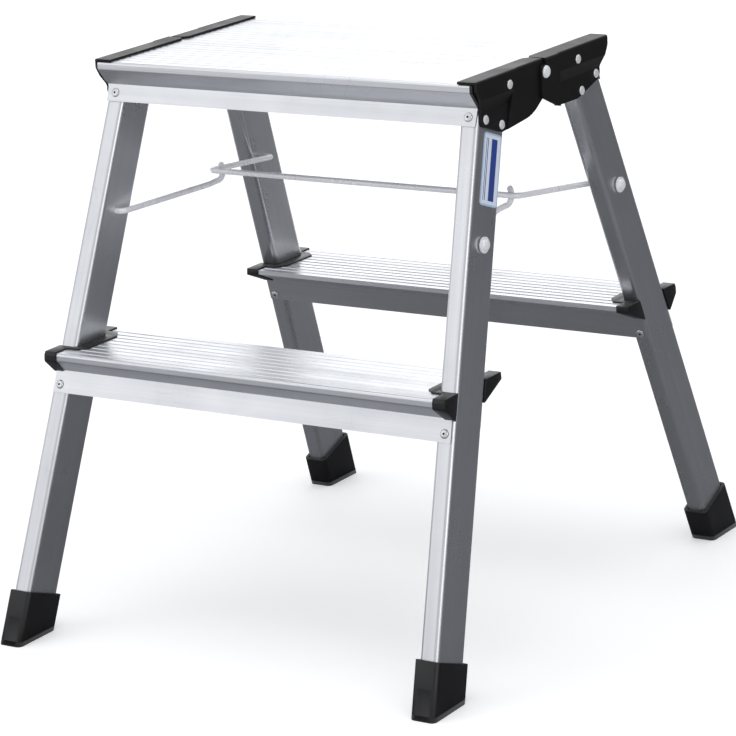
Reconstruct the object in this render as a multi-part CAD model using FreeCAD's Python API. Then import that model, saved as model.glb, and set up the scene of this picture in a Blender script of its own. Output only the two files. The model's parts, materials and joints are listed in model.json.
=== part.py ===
"""Folding step stool with two steps on each side and one shared platform.

Two equal frames lean against each other. Each has two splayed tube stiles, a lower
step, one half of the platform, two hinge plates and rubber feet. The rear frame is the
front one turned half a turn about the vertical axis, so on the right the rear plate
laps over the front one, and on the left the front plate laps over the rear one. A
round steel stay, one bow and two hooked links, holds the frames apart.

Units are millimetres. X runs along the steps, the front frame stands towards -Y, and
Z is up from the floor. Inside the front frame's functions u is the distance in front
of the middle plane, so y = -u.
"""
import FreeCAD, Part
import math
import os

V = FreeCAD.Vector

# Whole stool
TOP_Z = 470.0
STEP_LIFT = 2.5
LEAN_DEG = 20.1
SPLAY_DEG = 4.05

# Stiles: rectangular tube, measured across the tube, placed at the top of the stool
STILE_DEPTH = 40.0
STILE_WIDTH = 17.0
STILE_WALL = 1.5
STILE_CORNER = 4.2
STILE_FRONT_U = 85.9
STILE_OUTER_X = 178.0
STILE_FLOOR_GAP = 5.0

# Treads: hollow nose, ribbed top, two skirts that straddle the stiles
TREAD_WALL = 1.5
TREAD_TOP_WALL = 2.2
SKIRT_WALL = 1.6
NOSE_FACE = 6.8
NOSE_RADIUS = 2.4
TAIL_FACE = 4.0
GROOVE_PITCH = 8.6
GROOVE_WIDTH = 2.6
GROOVE_DEPTH = 0.6
GROOVE_MARGIN = 7.0

PLATFORM_NOSE_REACH = 20.2
PLATFORM_GAP = 0.8
PLATFORM_NOSE_DROP = 20.7
PLATFORM_SKIRT_DROP = 34.3
PLATFORM_TAIL_DROP = 13.5
PLATFORM_TAIL_CELLS = 3

STEP_NOSE_REACH = 19.9
STEP_TAIL_REACH = 21.9
STEP_NOSE_DROP = 17.6
STEP_SKIRT_DROP = 35.4
STEP_TAIL_DROP = 14.8
STEP_END_INSET = 2.5

# Hinge plates: pressed steel, a web on the stile's outside and a lip over the tread
PLATE_WALL = 2.0
PLATE_IN_X = 183.0
PLATE_LIP_WIDTH = 17.0
PLATE_LIP_CHAMFER = 4.0
PLATE_LIP_GAP = 1.0
PLATE_BEND_RADIUS = 1.8
PLATE_HEM = 6.0
PLATE_EAR_RADIUS = 8.6
PLATE_FLAT_SINK = 1.0
PLATE_LAP_GAP = 0.3
PLATE_LAP_WIDTH = 22.0
PLATE_JOGGLE = 2.0
PLATE_FOLD_DROP = 15.5
PLATE_FOLD_RISE = 9.8
PLATE_NOSE_DROP = 23.0
PLATE_NOSE_SETBACK = 2.0
PLATE_STILE_SETBACK = 4.0
PLATE_FRONT_DROP = 36.5
PLATE_BACK_U = 67.0
PLATE_BACK_DROP = 46.8
PLATE_BELLY_U = 20.0
PLATE_BELLY_DROP = 42.5
PLATE_BELLY_RADIUS = 45.0
PLATE_NOTCH_DROP = 31.0
PLATE_CORNER = 3.0
LAP_REACH = 7.0
LAP_FRONT_DROP = 33.0
LAP_FRONT_RADIUS = 8.0
LAP_MIDDLE_U = 56.0
LAP_MIDDLE_DROP = 43.8
LAP_BELLY_U = 20.0
LAP_BELLY_DROP = 43.3
LAP_BELLY_RADIUS = 22.0
LAP_TOP_DROP = 5.0

# Hinge pins
PIN_DROP = 11.0
PIN_RADIUS = 3.0
PIN_HEAD_RADIUS = 5.2
PIN_HEAD_RISE = 2.6
PIN_TAIL_RADIUS = 4.5
PIN_TAIL_WALL = 1.5
PIN_TAIL_GAP = 0.15
PIN_HEAD_ROOM = 1.4
RUNNING_FIT = 0.06

# Spacer between the platform's flat end and its plate
TREAD_END_GAP = 0.4
SPACER_WALL = 2.6
SPACER_PEG = 10.0

# Caps on the ends of the lower steps
CAP_WALL = 1.2
CAP_PROUD = 0.5
CAP_NOSE_LENGTH = 11.0
CAP_COLLAR = 11.0
CAP_COLLAR_FRONT = 5.0
CAP_COLLAR_BACK = 10.0
CAP_COLLAR_CHAMFER = 7.0
CAP_TAPER = 8.0
CAP_PEG = 10.0
CAP_FIT = 0.2

# Feet
FOOT_HEIGHT = 36.5
FOOT_BAND = 22.0
FOOT_WALL = 2.2
FOOT_BAND_WALL = 3.0
FOOT_FIT = 0.1
FOOT_GROOVES = 3
FOOT_GROOVE_WIDTH = 4.0
FOOT_GROOVE_DEPTH = 1.5
FOOT_GROOVE_PITCH = 11.0

# Blind rivets
RIVET_RADIUS = 2.3
RIVET_HEAD_RADIUS = 3.8
RIVET_HEAD_RISE = 1.3
RIVET_MANDREL_RADIUS = 1.0
RIVET_MANDREL_DEPTH = 0.9
RIVET_BULB_RADIUS = 3.1
RIVET_BULB_LENGTH = 3.0
RIVET_FIT = 0.05
PLATFORM_RIVET_DROP = 27.4
STEP_FRONT_RIVET_DROP = 29.0
STEP_BACK_RIVET_DROP = 31.0
PLATE_RIVET_TOP_U = 55.0
PLATE_RIVET_TOP_DROP = 11.0
PLATE_RIVET_LOW_DROP = 36.8
PLATE_RIVET_SPREAD = 12.2
LAP_RIVET_LOW_DROP = 34.0
LAP_RIVET_SPREAD = 13.7
LAP_RIVET_SHIFT = 0.9

# Stay: bow on the rear frame, links on the front frame
STAY_RADIUS = 2.5
STAY_PIVOT_DROP = 127.5
STAY_BEND = 6.0
STAY_SIDE_GAP = 4.4
BOW_BAR_Y = 3.0
BOW_BAR_RISE = 11.5
BOW_HALF_WIDTH = 153.0
LINK_HOOK_X = 144.0
HOOK_RADIUS = 7.5
HOOK_BAR_GAP = 0.4
HOOK_TIP_DEG = 45.0
WASHER_RADIUS = 6.6
WASHER_WALL = 1.4
WASHER_GAP = 0.5
STAY_HEAD_RADIUS = 5.0
STAY_HEAD_RISE = 3.0

# Sizes that follow from the ones above
LEAN = math.tan(math.radians(LEAN_DEG))
SPLAY = math.tan(math.radians(SPLAY_DEG))
COS_LEAN = math.cos(math.radians(LEAN_DEG))
SIN_LEAN = math.sin(math.radians(LEAN_DEG))
STILE_SPAN_U = STILE_DEPTH / COS_LEAN
PLATFORM_TOP_Z = TOP_Z - PLATE_WALL
STEP_TOP_Z = TOP_Z / 2 + STEP_LIFT
STAY_PIVOT_Z = TOP_Z - STAY_PIVOT_DROP
BOW_BAR_Z = STAY_PIVOT_Z + BOW_BAR_RISE
PLATFORM_TAIL_U = PLATFORM_GAP / 2
PIN_Z = TOP_Z - PIN_DROP
FLAT_PLATE_IN_X = PLATE_IN_X - PLATE_FLAT_SINK
LAP_IN_X = FLAT_PLATE_IN_X + PLATE_WALL + PLATE_LAP_GAP
TREAD_END_X = FLAT_PLATE_IN_X - TREAD_END_GAP
FAR = 400.0


def outer_x(z):
    """Outer face of the right stile at height z."""
    return STILE_OUTER_X + (TOP_Z - z) * SPLAY


def front_u(z):
    """Front face of a stile at height z."""
    return STILE_FRONT_U + (TOP_Z - z) * LEAN


def back_u(z):
    """Back face of a stile at height z."""
    return front_u(z) - STILE_SPAN_U


def middle_u(z):
    """Middle of a stile at height z."""
    return front_u(z) - STILE_SPAN_U / 2


def rounded_wire(points, radii):
    """Closed wire through the points, with an arc at each corner that has a radius."""
    edges = []
    ends = []
    for index, corner in enumerate(points):
        radius = radii.get(index, 0.0)
        before = (points[index - 1] - corner).normalize()
        after = (points[(index + 1) % len(points)] - corner).normalize()
        if radius == 0.0:
            ends.append((corner, corner))
            continue
        half = before.getAngle(after) / 2
        start = corner + before * (radius / math.tan(half))
        stop = corner + after * (radius / math.tan(half))
        centre = corner + (before + after).normalize() * (radius / math.sin(half))
        middle = centre + (corner - centre).normalize() * radius
        edges.append(Part.Arc(start, middle, stop).toShape())
        ends.append((start, stop))
    for index, (start, stop) in enumerate(ends):
        following = ends[(index + 1) % len(ends)][0]
        edges.append(Part.LineSegment(stop, following).toShape())
    return Part.Wire(Part.__sortEdges__(edges))


def side_face(points, radii=None):
    """Face across the stool from (u, z) points, at x = 0."""
    corners = [V(0, -u, z) for u, z in points]
    return Part.Face(rounded_wire(corners, radii or {}))


def along_x(face, low, high):
    """Solid that runs from x = low to x = high."""
    moved = face.copy()
    moved.translate(V(low, 0, 0))
    return moved.extrude(V(high - low, 0, 0))


def front_slab(points, low_u, high_u):
    """Solid with an (x, z) outline that runs from u = low_u to u = high_u."""
    corners = [V(x, -low_u, z) for x, z in points]
    return Part.Face(Part.makePolygon(corners + corners[:1])).extrude(V(0, low_u - high_u, 0))


def plan_slab(points, low_z, high_z):
    """Solid with an (x, u) outline that stands from low_z to high_z."""
    corners = [V(x, -u, low_z) for x, u in points]
    return Part.Face(Part.makePolygon(corners + corners[:1])).extrude(V(0, 0, high_z - low_z))


def inset(points, wall):
    """Convex (u, z) outline moved inwards by the wall, or outwards if wall is below 0."""
    area = 0.0
    for index, (u, z) in enumerate(points):
        next_u, next_z = points[(index + 1) % len(points)]
        area += u * next_z - next_u * z
    turn = 1.0 if area > 0 else -1.0
    lines = []
    for index, (u, z) in enumerate(points):
        next_u, next_z = points[(index + 1) % len(points)]
        length = math.hypot(next_u - u, next_z - z)
        direction = ((next_u - u) / length, (next_z - z) / length)
        shift = (-direction[1] * turn * wall, direction[0] * turn * wall)
        lines.append(((u + shift[0], z + shift[1]), direction))
    result = []
    for index, (point, direction) in enumerate(lines):
        other, other_direction = lines[index - 1]
        cross = direction[0] * other_direction[1] - direction[1] * other_direction[0]
        gap = (other[0] - point[0], other[1] - point[1])
        along = (gap[0] * other_direction[1] - gap[1] * other_direction[0]) / cross
        result.append((point[0] + direction[0] * along, point[1] + direction[1] * along))
    return result


def stile_prism(side, low_z, high_z, grow, corner):
    """Leaning prism on a stile's line, larger than the stile by grow all round."""
    inner = outer_x(high_z) - STILE_WIDTH - grow
    outer = outer_x(high_z) + grow
    back = back_u(high_z) - grow / COS_LEAN
    front = front_u(high_z) + grow / COS_LEAN
    corners = [
        V(side * inner, -back, high_z),
        V(side * outer, -back, high_z),
        V(side * outer, -front, high_z),
        V(side * inner, -front, high_z),
    ]
    radii = {index: corner for index in range(4)} if corner else {}
    drop = high_z - low_z
    return Part.Face(rounded_wire(corners, radii)).extrude(V(side * drop * SPLAY, -drop * LEAN, -drop))


def turned(profile, base, axis):
    """Solid of revolution from (radius, height) points, standing on base along axis."""
    corners = [V(radius, 0, height) for radius, height in profile]
    face = Part.Face(Part.makePolygon(corners + corners[:1]))
    solid = face.revolve(V(0, 0, 0), V(0, 0, 1), 360)
    solid.Placement = FreeCAD.Placement(base, FreeCAD.Rotation(V(0, 0, 1), axis))
    return solid


def dome(radius, rise, foot):
    """Points of a low domed head that stands on height foot, from its rim to its top."""
    steps = 5
    points = []
    for index in range(steps + 1):
        angle = math.pi / 2 * index / steps
        points.append((radius * math.cos(angle) ** 0.7, foot + rise * math.sin(angle)))
    points[-1] = (0.0, foot + rise)
    return points


def rivet(base, axis, grip):
    """Blind rivet with its head on base, and its bulb past the grip."""
    head = [point for point in dome(RIVET_HEAD_RADIUS, RIVET_HEAD_RISE, 0.0)
            if point[0] > RIVET_MANDREL_RADIUS]
    profile = [
        (0.0, RIVET_HEAD_RISE - RIVET_MANDREL_DEPTH),
        (0.0, -grip - RIVET_BULB_LENGTH),
        (RIVET_RADIUS, -grip - RIVET_BULB_LENGTH),
        (RIVET_BULB_RADIUS, -grip - RIVET_BULB_LENGTH / 2),
        (RIVET_RADIUS, -grip),
        (RIVET_RADIUS, 0.0),
    ]
    profile += head
    profile += [
        (RIVET_MANDREL_RADIUS, RIVET_HEAD_RISE),
        (RIVET_MANDREL_RADIUS, RIVET_HEAD_RISE - RIVET_MANDREL_DEPTH),
    ]
    return turned(profile, base, axis)


def rivet_hole(base, axis, grip):
    """Hole for a rivet, through everything that it grips."""
    start = base + axis * RIVET_HEAD_RISE
    return Part.makeCylinder(RIVET_RADIUS + RIVET_FIT, grip + 2 * RIVET_HEAD_RISE, start, axis * -1)


def fuse_all(shapes):
    """One solid from touching shapes, without the seams between coplanar faces."""
    return shapes[0].multiFuse(shapes[1:]).removeSplitter()


class Tread:
    """Section of a step or of one half of the platform, in u and z."""

    def __init__(self, top, tail, nose, nose_drop, skirt_drop, tail_drop, cells):
        self.top = top
        self.tail = tail
        self.nose = nose
        self.skirt_top = top - nose_drop
        self.skirt_foot = top - skirt_drop
        self.tail_foot = top - tail_drop
        self.cells = cells

    def nose_outline(self):
        """Nose chamber's outside, down to the front skirt."""
        return [
            (front_u(self.top), self.top),
            (self.nose, self.top),
            (self.nose, self.top - NOSE_FACE),
            (front_u(self.skirt_top) + SKIRT_WALL, self.skirt_top),
            (front_u(self.skirt_top), self.skirt_top),
        ]

    def tail_outline(self):
        """Tail chamber's outside, down to the back skirt."""
        return [
            (self.tail, self.top),
            (back_u(self.top), self.top),
            (back_u(self.tail_foot), self.tail_foot),
            (back_u(self.tail_foot) - SKIRT_WALL, self.tail_foot),
            (self.tail, self.top - TAIL_FACE),
        ]

    def chambers(self):
        """Insides of the hollow nose and tail."""
        nose = self.nose_outline()
        nose_room = inset(nose[:4], TREAD_WALL)
        tail = self.tail_outline()
        tail_room = inset([tail[0], tail[1], tail[3], tail[4]], TREAD_WALL)
        rooms = [nose_room]
        (left, top), (right_top, _), (right_foot, foot), (_, left_foot) = tail_room
        pitch = (right_top - left) / self.cells
        for index in range(self.cells):
            last = index == self.cells - 1
            low = left + pitch * index + (TREAD_WALL / 2 if index else 0.0)
            high = left + pitch * (index + 1) - (0.0 if last else TREAD_WALL / 2)
            slope = (foot - left_foot) / (right_foot - left)
            low_foot = left_foot + slope * (low - left)
            high_foot = left_foot + slope * (high - left)
            corner = (right_foot, foot) if last else (high, high_foot)
            rooms.append([(low, top), (high, top), corner, (low, low_foot)])
        return rooms

    def outline(self, grooves):
        """Outside of the whole section, with or without the grooves in its top."""
        points = [(self.tail, self.top)]
        if grooves:
            span = self.nose - self.tail - 2 * GROOVE_MARGIN
            count = int(span / GROOVE_PITCH) + 1
            first = self.tail + GROOVE_MARGIN + (span - (count - 1) * GROOVE_PITCH) / 2
            for index in range(count):
                centre = first + index * GROOVE_PITCH
                points.append((centre - GROOVE_WIDTH / 2, self.top))
                points.append((centre - GROOVE_WIDTH / 2 + GROOVE_DEPTH, self.top - GROOVE_DEPTH))
                points.append((centre + GROOVE_WIDTH / 2 - GROOVE_DEPTH, self.top - GROOVE_DEPTH))
                points.append((centre + GROOVE_WIDTH / 2, self.top))
        under = self.top - TREAD_TOP_WALL
        nose_index = len(points)
        points += [
            (self.nose, self.top),
            (self.nose, self.top - NOSE_FACE),
            (front_u(self.skirt_top) + SKIRT_WALL, self.skirt_top),
            (front_u(self.skirt_foot) + SKIRT_WALL, self.skirt_foot),
            (front_u(self.skirt_foot), self.skirt_foot),
            (front_u(under), under),
            (back_u(under), under),
            (back_u(self.skirt_foot), self.skirt_foot),
            (back_u(self.skirt_foot) - SKIRT_WALL, self.skirt_foot),
            (back_u(self.tail_foot) - SKIRT_WALL, self.tail_foot),
            (self.tail, self.top - TAIL_FACE),
        ]
        radii = {nose_index: NOSE_RADIUS, nose_index + 1: NOSE_RADIUS}
        return side_face(points, radii)

    def extrusion(self, low, high):
        """Hollow extrusion from x = low to x = high."""
        solid = along_x(self.outline(True), low, high)
        rooms = [along_x(side_face(room), low - 1, high + 1) for room in self.chambers()]
        return solid.cut(rooms)

    def front_rivet(self, x, drop):
        """Base and axis of a rivet in the front skirt."""
        z = self.top - drop
        return V(x, -front_u(z) - SKIRT_WALL, z), V(0, -COS_LEAN, SIN_LEAN)

    def back_rivet(self, x, drop):
        """Base and axis of a rivet in the back skirt."""
        z = self.top - drop
        return V(x, -back_u(z) + SKIRT_WALL, z), V(0, COS_LEAN, -SIN_LEAN)


PLATFORM = Tread(PLATFORM_TOP_Z, PLATFORM_TAIL_U, front_u(PLATFORM_TOP_Z) + PLATFORM_NOSE_REACH,
                 PLATFORM_NOSE_DROP, PLATFORM_SKIRT_DROP, PLATFORM_TAIL_DROP, PLATFORM_TAIL_CELLS)
STEP = Tread(STEP_TOP_Z, back_u(STEP_TOP_Z) - STEP_TAIL_REACH, front_u(STEP_TOP_Z) + STEP_NOSE_REACH,
             STEP_NOSE_DROP, STEP_SKIRT_DROP, STEP_TAIL_DROP, 1)
SKIRT_GRIP = (SKIRT_WALL + STILE_WALL) * COS_LEAN


def stile_centre_x(z):
    """Middle of the right stile's width at height z."""
    return outer_x(z) - STILE_WIDTH / 2


def platform_rivet_places():
    """Rivets of the platform's two skirts."""
    x = stile_centre_x(PLATFORM.top - PLATFORM_RIVET_DROP)
    places = []
    for side in (-1, 1):
        places.append(PLATFORM.front_rivet(side * x, PLATFORM_RIVET_DROP))
        places.append(PLATFORM.back_rivet(side * x, PLATFORM_RIVET_DROP))
    return places


def step_rivet_places():
    """Rivets of the lower step's two skirts."""
    front_x = stile_centre_x(STEP.top - STEP_FRONT_RIVET_DROP)
    back_x = stile_centre_x(STEP.top - STEP_BACK_RIVET_DROP)
    places = []
    for side in (-1, 1):
        places.append(STEP.front_rivet(side * front_x, STEP_FRONT_RIVET_DROP))
        places.append(STEP.back_rivet(side * back_x, STEP_BACK_RIVET_DROP))
    return places


def plate_rivet_places(side):
    """Rivets of one hinge plate, the lapped one on the left: base, axis and grip."""
    top_z = TOP_Z - PLATE_RIVET_TOP_DROP
    face = PLATE_IN_X + PLATE_WALL
    top_grip = face - outer_x(top_z) + STILE_WALL
    places = [(V(side * face, -PLATE_RIVET_TOP_U, top_z), V(side, 0, 0), top_grip)]
    low_z = TOP_Z - PLATE_RIVET_LOW_DROP
    middle = middle_u(low_z)
    spread = PLATE_RIVET_SPREAD
    if side < 0:
        low_z = TOP_Z - LAP_RIVET_LOW_DROP
        middle = middle_u(low_z) - LAP_RIVET_SHIFT
        spread = LAP_RIVET_SPREAD
    axis = V(side, 0, SPLAY).normalize()
    for shift in (-spread, spread):
        u = middle + shift * COS_LEAN
        z = low_z + shift * SIN_LEAN
        base = V(side * (outer_x(z) + PLATE_WALL), -u, z)
        places.append((base, axis, (PLATE_WALL + STILE_WALL) * axis.x * side))
    return places


def skirt_holes(places):
    """Holes for a group of skirt rivets."""
    return [rivet_hole(base, axis, SKIRT_GRIP) for base, axis in places]


def rod(start, stop, radius):
    """Round bar from start to stop."""
    run = stop - start
    return Part.makeCylinder(radius, run.Length, start, run)


def stay_pivot(side, x):
    """Point on the front stay pivot's axis."""
    return V(side * x, -middle_u(STAY_PIVOT_Z), STAY_PIVOT_Z)


def stile(side):
    """Tube stile with its rivet and pivot holes."""
    top = PLATFORM.top - TREAD_TOP_WALL
    tube = stile_prism(side, STILE_FLOOR_GAP, top, 0.0, STILE_CORNER)
    bore = stile_prism(side, -1, TOP_Z, -STILE_WALL, STILE_CORNER - STILE_WALL)
    holes = [bore]
    holes += skirt_holes(platform_rivet_places())
    holes += skirt_holes(step_rivet_places())
    holes += [rivet_hole(*place) for place in plate_rivet_places(side)]
    pivot_x = outer_x(STAY_PIVOT_Z)
    holes.append(rod(stay_pivot(side, pivot_x - 2 * STILE_WIDTH), stay_pivot(side, pivot_x + STILE_WIDTH),
                     STAY_RADIUS + RUNNING_FIT))
    return tube.cut(holes)


def pin_room(side):
    """Room for a hinge pin's inner head in the ends of the treads."""
    depth = PIN_TAIL_WALL + PIN_TAIL_GAP + PIN_HEAD_ROOM
    start = V(side * (FLAT_PLATE_IN_X - depth), 0, PIN_Z)
    return Part.makeCylinder(PIN_TAIL_RADIUS + PIN_HEAD_ROOM, depth, start, V(side, 0, 0))


def fold_trim():
    """Block that trims the platform's right end, where the hinge plate folds in."""
    fold = TOP_Z - PLATE_FOLD_DROP
    seat = fold - PLATE_FOLD_RISE
    low = PLATFORM.skirt_foot - 1
    end = outer_x(seat) - TREAD_END_GAP
    return front_slab([
        (end, low),
        (end, seat),
        (PLATE_IN_X - TREAD_END_GAP, fold),
        (FAR, fold),
        (FAR, low),
    ], 0, PLATFORM.nose)


def platform():
    """Front half of the platform. Its right end stops short for the spacer."""
    solid = PLATFORM.extrusion(-TREAD_END_X, TREAD_END_X - SPACER_WALL)
    cuts = skirt_holes(platform_rivet_places())
    cuts += [pin_room(-1), pin_room(1), mirrored(fold_trim(), -1)]
    return solid.cut(cuts)


def platform_spacer():
    """Black end piece between the platform's right end and its hinge plate."""
    low = TREAD_END_X - SPACER_WALL
    nose = along_x(side_face(PLATFORM.nose_outline(), {1: NOSE_RADIUS, 2: NOSE_RADIUS}), low, TREAD_END_X)
    tail = along_x(side_face(PLATFORM.tail_outline()), low, TREAD_END_X)
    under = PLATFORM.top - TREAD_TOP_WALL
    bridge_back = back_u(under) - SKIRT_WALL
    bridge_front = front_u(under) + SKIRT_WALL
    bridge = along_x(side_face([
        (bridge_back, PLATFORM.top),
        (bridge_front, PLATFORM.top),
        (bridge_front, under),
        (bridge_back, under),
    ]), low, TREAD_END_X)
    pegs = []
    for room in PLATFORM.chambers():
        pegs.append(along_x(side_face(inset(room, CAP_FIT)), low - SPACER_PEG, low))
    body = fuse_all([nose, tail, bridge] + pegs)
    clear = stile_prism(1, PLATFORM.skirt_foot, under, 0.0, 0.0)
    return body.cut([clear, pin_room(1), fold_trim()])


def step_ends():
    """Block that trims the lower step to the stiles' splay."""
    low = STEP.skirt_foot - 1
    high = STEP.top + 1
    foot = outer_x(low) - STEP_END_INSET
    head = outer_x(high) - STEP_END_INSET
    return front_slab([(-foot, low), (foot, low), (head, high), (-head, high)], STEP.tail - 1, STEP.nose + 1)


def stile_slot(side):
    """Gap in the lower step's top that the stile passes through."""
    low = STEP.skirt_foot - 1
    high = STEP.top + CAP_WALL + 1
    body = stile_prism(side, low, high, 0.0, 0.0)
    return fuse_all([body.translated(V(side * shift, 0, 0)) for shift in (-CAP_FIT, 0.0, STILE_WIDTH / 2)])


def step():
    """Lower step, slotted round both stiles."""
    width = outer_x(STEP.skirt_foot) + 1
    solid = STEP.extrusion(-width, width).common(step_ends())
    cuts = skirt_holes(step_rivet_places())
    cuts += [stile_slot(-1), stile_slot(1)]
    return solid.cut(cuts)


def step_cap(side):
    """Black cap over the end of the lower step, with a collar round the stile."""
    end = outer_x(STEP.top) + STILE_WIDTH
    sleeve_low = outer_x(STEP.top) - CAP_NOSE_LENGTH
    nose = inset(STEP.nose_outline()[:4], -CAP_WALL)
    tail_points = STEP.tail_outline()
    tail = inset([tail_points[0], tail_points[1], tail_points[3], tail_points[4]], -CAP_WALL)
    nose_radius = NOSE_RADIUS + CAP_WALL
    sleeves = [along_x(side_face(nose, {1: nose_radius, 2: nose_radius}), sleeve_low, end)]
    sleeves.append(along_x(side_face(tail), sleeve_low, end))
    collar_x = outer_x(STEP.top) - STILE_WIDTH - CAP_COLLAR
    front = front_u(STEP.top)
    back = back_u(STEP.top)
    collar = plan_slab([
        (end, STEP.nose),
        (sleeve_low, STEP.nose),
        (sleeve_low, front + CAP_COLLAR_FRONT + CAP_WALL),
        (sleeve_low - CAP_WALL, front + CAP_COLLAR_FRONT),
        (collar_x + CAP_COLLAR_CHAMFER, front + CAP_COLLAR_FRONT),
        (collar_x, front + CAP_COLLAR_FRONT - CAP_COLLAR_CHAMFER),
        (collar_x, back),
        (collar_x + CAP_COLLAR_CHAMFER, back - CAP_COLLAR_BACK),
        (sleeve_low, back - CAP_COLLAR_BACK),
        (sleeve_low, STEP.tail),
        (end, STEP.tail),
    ], STEP.top, STEP.top + CAP_WALL)
    body = fuse_all(sleeves + [collar])
    width = outer_x(STEP.skirt_foot) + 1
    filled = along_x(STEP.outline(False), 0, width).common(step_ends())
    low = STEP.skirt_foot
    high = STEP.top + CAP_WALL
    flush = front_slab([
        (0, low),
        (outer_x(low) + CAP_PROUD, low),
        (outer_x(high) + CAP_PROUD, high),
        (0, high),
    ], STEP.tail - 2 * CAP_WALL, STEP.nose + 2 * CAP_WALL)
    taper = front_slab([
        (sleeve_low - 1, STEP.top - NOSE_FACE - CAP_WALL),
        (sleeve_low, STEP.top - NOSE_FACE - CAP_WALL),
        (sleeve_low + CAP_TAPER, low),
        (sleeve_low - 1, low),
    ], STEP.tail - 2 * CAP_WALL, STEP.nose + 2 * CAP_WALL)
    body = body.cut([filled, taper]).common(flush)
    pegs = []
    for room in STEP.chambers():
        peg = along_x(side_face(inset(room, CAP_FIT)), outer_x(STEP.top) - CAP_PEG, end)
        pegs.append(peg.common(flush))
    body = fuse_all([body] + pegs)
    room = stile_prism(1, STEP.skirt_foot - 1, high + 1, CAP_FIT, STILE_CORNER)
    outside = stile_prism(1, STEP.skirt_foot - 1, high + 1, 0.0, 0.0).translated(V(STILE_WIDTH / 2, 0, 0))
    return mirrored(body.cut([room, outside]), side)


def mirrored(shape, side):
    """The shape for the right side, or its mirror image for the left."""
    if side > 0:
        return shape
    return shape.mirror(V(0, 0, 0), V(1, 0, 0))


def plate_nose():
    """Front edge that both hinge plates share, from the lip down to the stile."""
    foot_z = TOP_Z - PLATE_NOSE_DROP
    return [
        (PLATFORM.nose - PLATE_NOSE_SETBACK, PLATFORM.top),
        (PLATFORM.nose - PLATE_NOSE_SETBACK, PLATFORM.top - NOSE_FACE),
        (front_u(foot_z) + SKIRT_WALL, foot_z),
    ]


def flat_outline():
    """Flat plate's web in u and z, without its ear."""
    low_z = TOP_Z - PLATE_FRONT_DROP
    points = [(PLATE_LIP_GAP, PLATFORM.top)] + plate_nose() + [
        (front_u(low_z) + SKIRT_WALL - PLATE_STILE_SETBACK, low_z),
        (PLATE_BACK_U, TOP_Z - PLATE_BACK_DROP),
        (PLATE_BELLY_U, TOP_Z - PLATE_BELLY_DROP),
        (PLATE_LIP_GAP, TOP_Z - PLATE_NOTCH_DROP),
    ]
    radii = {1: NOSE_RADIUS, 2: NOSE_RADIUS, 4: PLATE_CORNER, 5: PLATE_CORNER, 6: PLATE_BELLY_RADIUS}
    return points, radii


def lapped_outline():
    """Lapped plate's web in u and z, with the edge that laps over the other plate."""
    low_z = TOP_Z - LAP_FRONT_DROP
    points = [
        (PLATE_LIP_GAP, PLATFORM.top),
    ] + plate_nose() + [
        (front_u(low_z) + SKIRT_WALL - PLATE_STILE_SETBACK, low_z),
        (LAP_MIDDLE_U, TOP_Z - LAP_MIDDLE_DROP),
        (LAP_BELLY_U, TOP_Z - LAP_BELLY_DROP),
        (-LAP_REACH, TOP_Z - PLATE_NOTCH_DROP),
        (-LAP_REACH, TOP_Z - LAP_TOP_DROP),
        (PLATE_LIP_GAP, TOP_Z - LAP_TOP_DROP),
    ]
    radii = {
        1: NOSE_RADIUS,
        2: NOSE_RADIUS,
        4: LAP_FRONT_RADIUS,
        5: LAP_BELLY_RADIUS,
        6: LAP_BELLY_RADIUS,
        7: PLATE_CORNER,
        8: PLATE_CORNER,
    }
    return points, radii


def web_slab(low_u, high_u):
    """Sheet one plate thick, upright beside the tread and folded in against the stile."""
    high = PLATFORM.top
    fold = TOP_Z - PLATE_FOLD_DROP
    seat = fold - PLATE_FOLD_RISE
    low = TOP_Z - 2 * PLATE_BACK_DROP
    points = [
        (PLATE_IN_X, high),
        (PLATE_IN_X, fold),
        (outer_x(seat), seat),
        (outer_x(low), low),
        (outer_x(low) + PLATE_WALL, low),
        (outer_x(seat) + PLATE_WALL, seat),
        (PLATE_IN_X + PLATE_WALL, fold),
        (PLATE_IN_X + PLATE_WALL, high),
    ]
    return front_slab(points, low_u, high_u)


def lip(inner_x, low_u, high_u):
    """Lip over the tread's end, with the bend that joins it to the web."""
    nose = PLATFORM.nose
    edge = inner_x + PLATE_WALL
    hem = PLATFORM.top - PLATE_HEM
    inner_edge = PLATE_IN_X + PLATE_WALL - PLATE_LIP_WIDTH
    corners = [
        V(inner_edge, -low_u, PLATFORM.top),
        V(inner_edge, -low_u, TOP_Z),
        V(edge, -low_u, TOP_Z),
        V(edge, -low_u, hem),
        V(inner_x, -low_u, hem),
        V(inner_x, -low_u, PLATFORM.top),
    ]
    face = Part.Face(rounded_wire(corners, {2: PLATE_BEND_RADIUS}))
    chamfer = plan_slab([
        (inner_edge + PLATE_LIP_CHAMFER, PLATE_LIP_GAP),
        (edge + 1, PLATE_LIP_GAP),
        (edge + 1, nose - PLATE_NOSE_SETBACK),
        (inner_x - PLATE_LIP_GAP, nose),
        (inner_edge, nose),
        (inner_edge, PLATE_LIP_GAP + PLATE_LIP_CHAMFER),
    ], hem, TOP_Z)
    return face.extrude(V(0, low_u - high_u, 0)).common(chamfer)


def ear(inner_x):
    """Round ear about the hinge pin."""
    start = V(inner_x, 0, PIN_Z)
    return Part.makeCylinder(PLATE_EAR_RADIUS, PLATE_WALL, start, V(1, 0, 0))


def stile_zone():
    """Block over the stile, from just behind its back face to past the nose."""
    low = TOP_Z - 2 * PLATE_BACK_DROP
    points = [
        (back_u(TOP_Z) - PLATE_JOGGLE, TOP_Z),
        (PLATFORM.nose + 1, TOP_Z),
        (PLATFORM.nose + 1, low),
        (back_u(low) - PLATE_JOGGLE, low),
    ]
    return along_x(side_face(points), 0, FAR)


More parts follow.
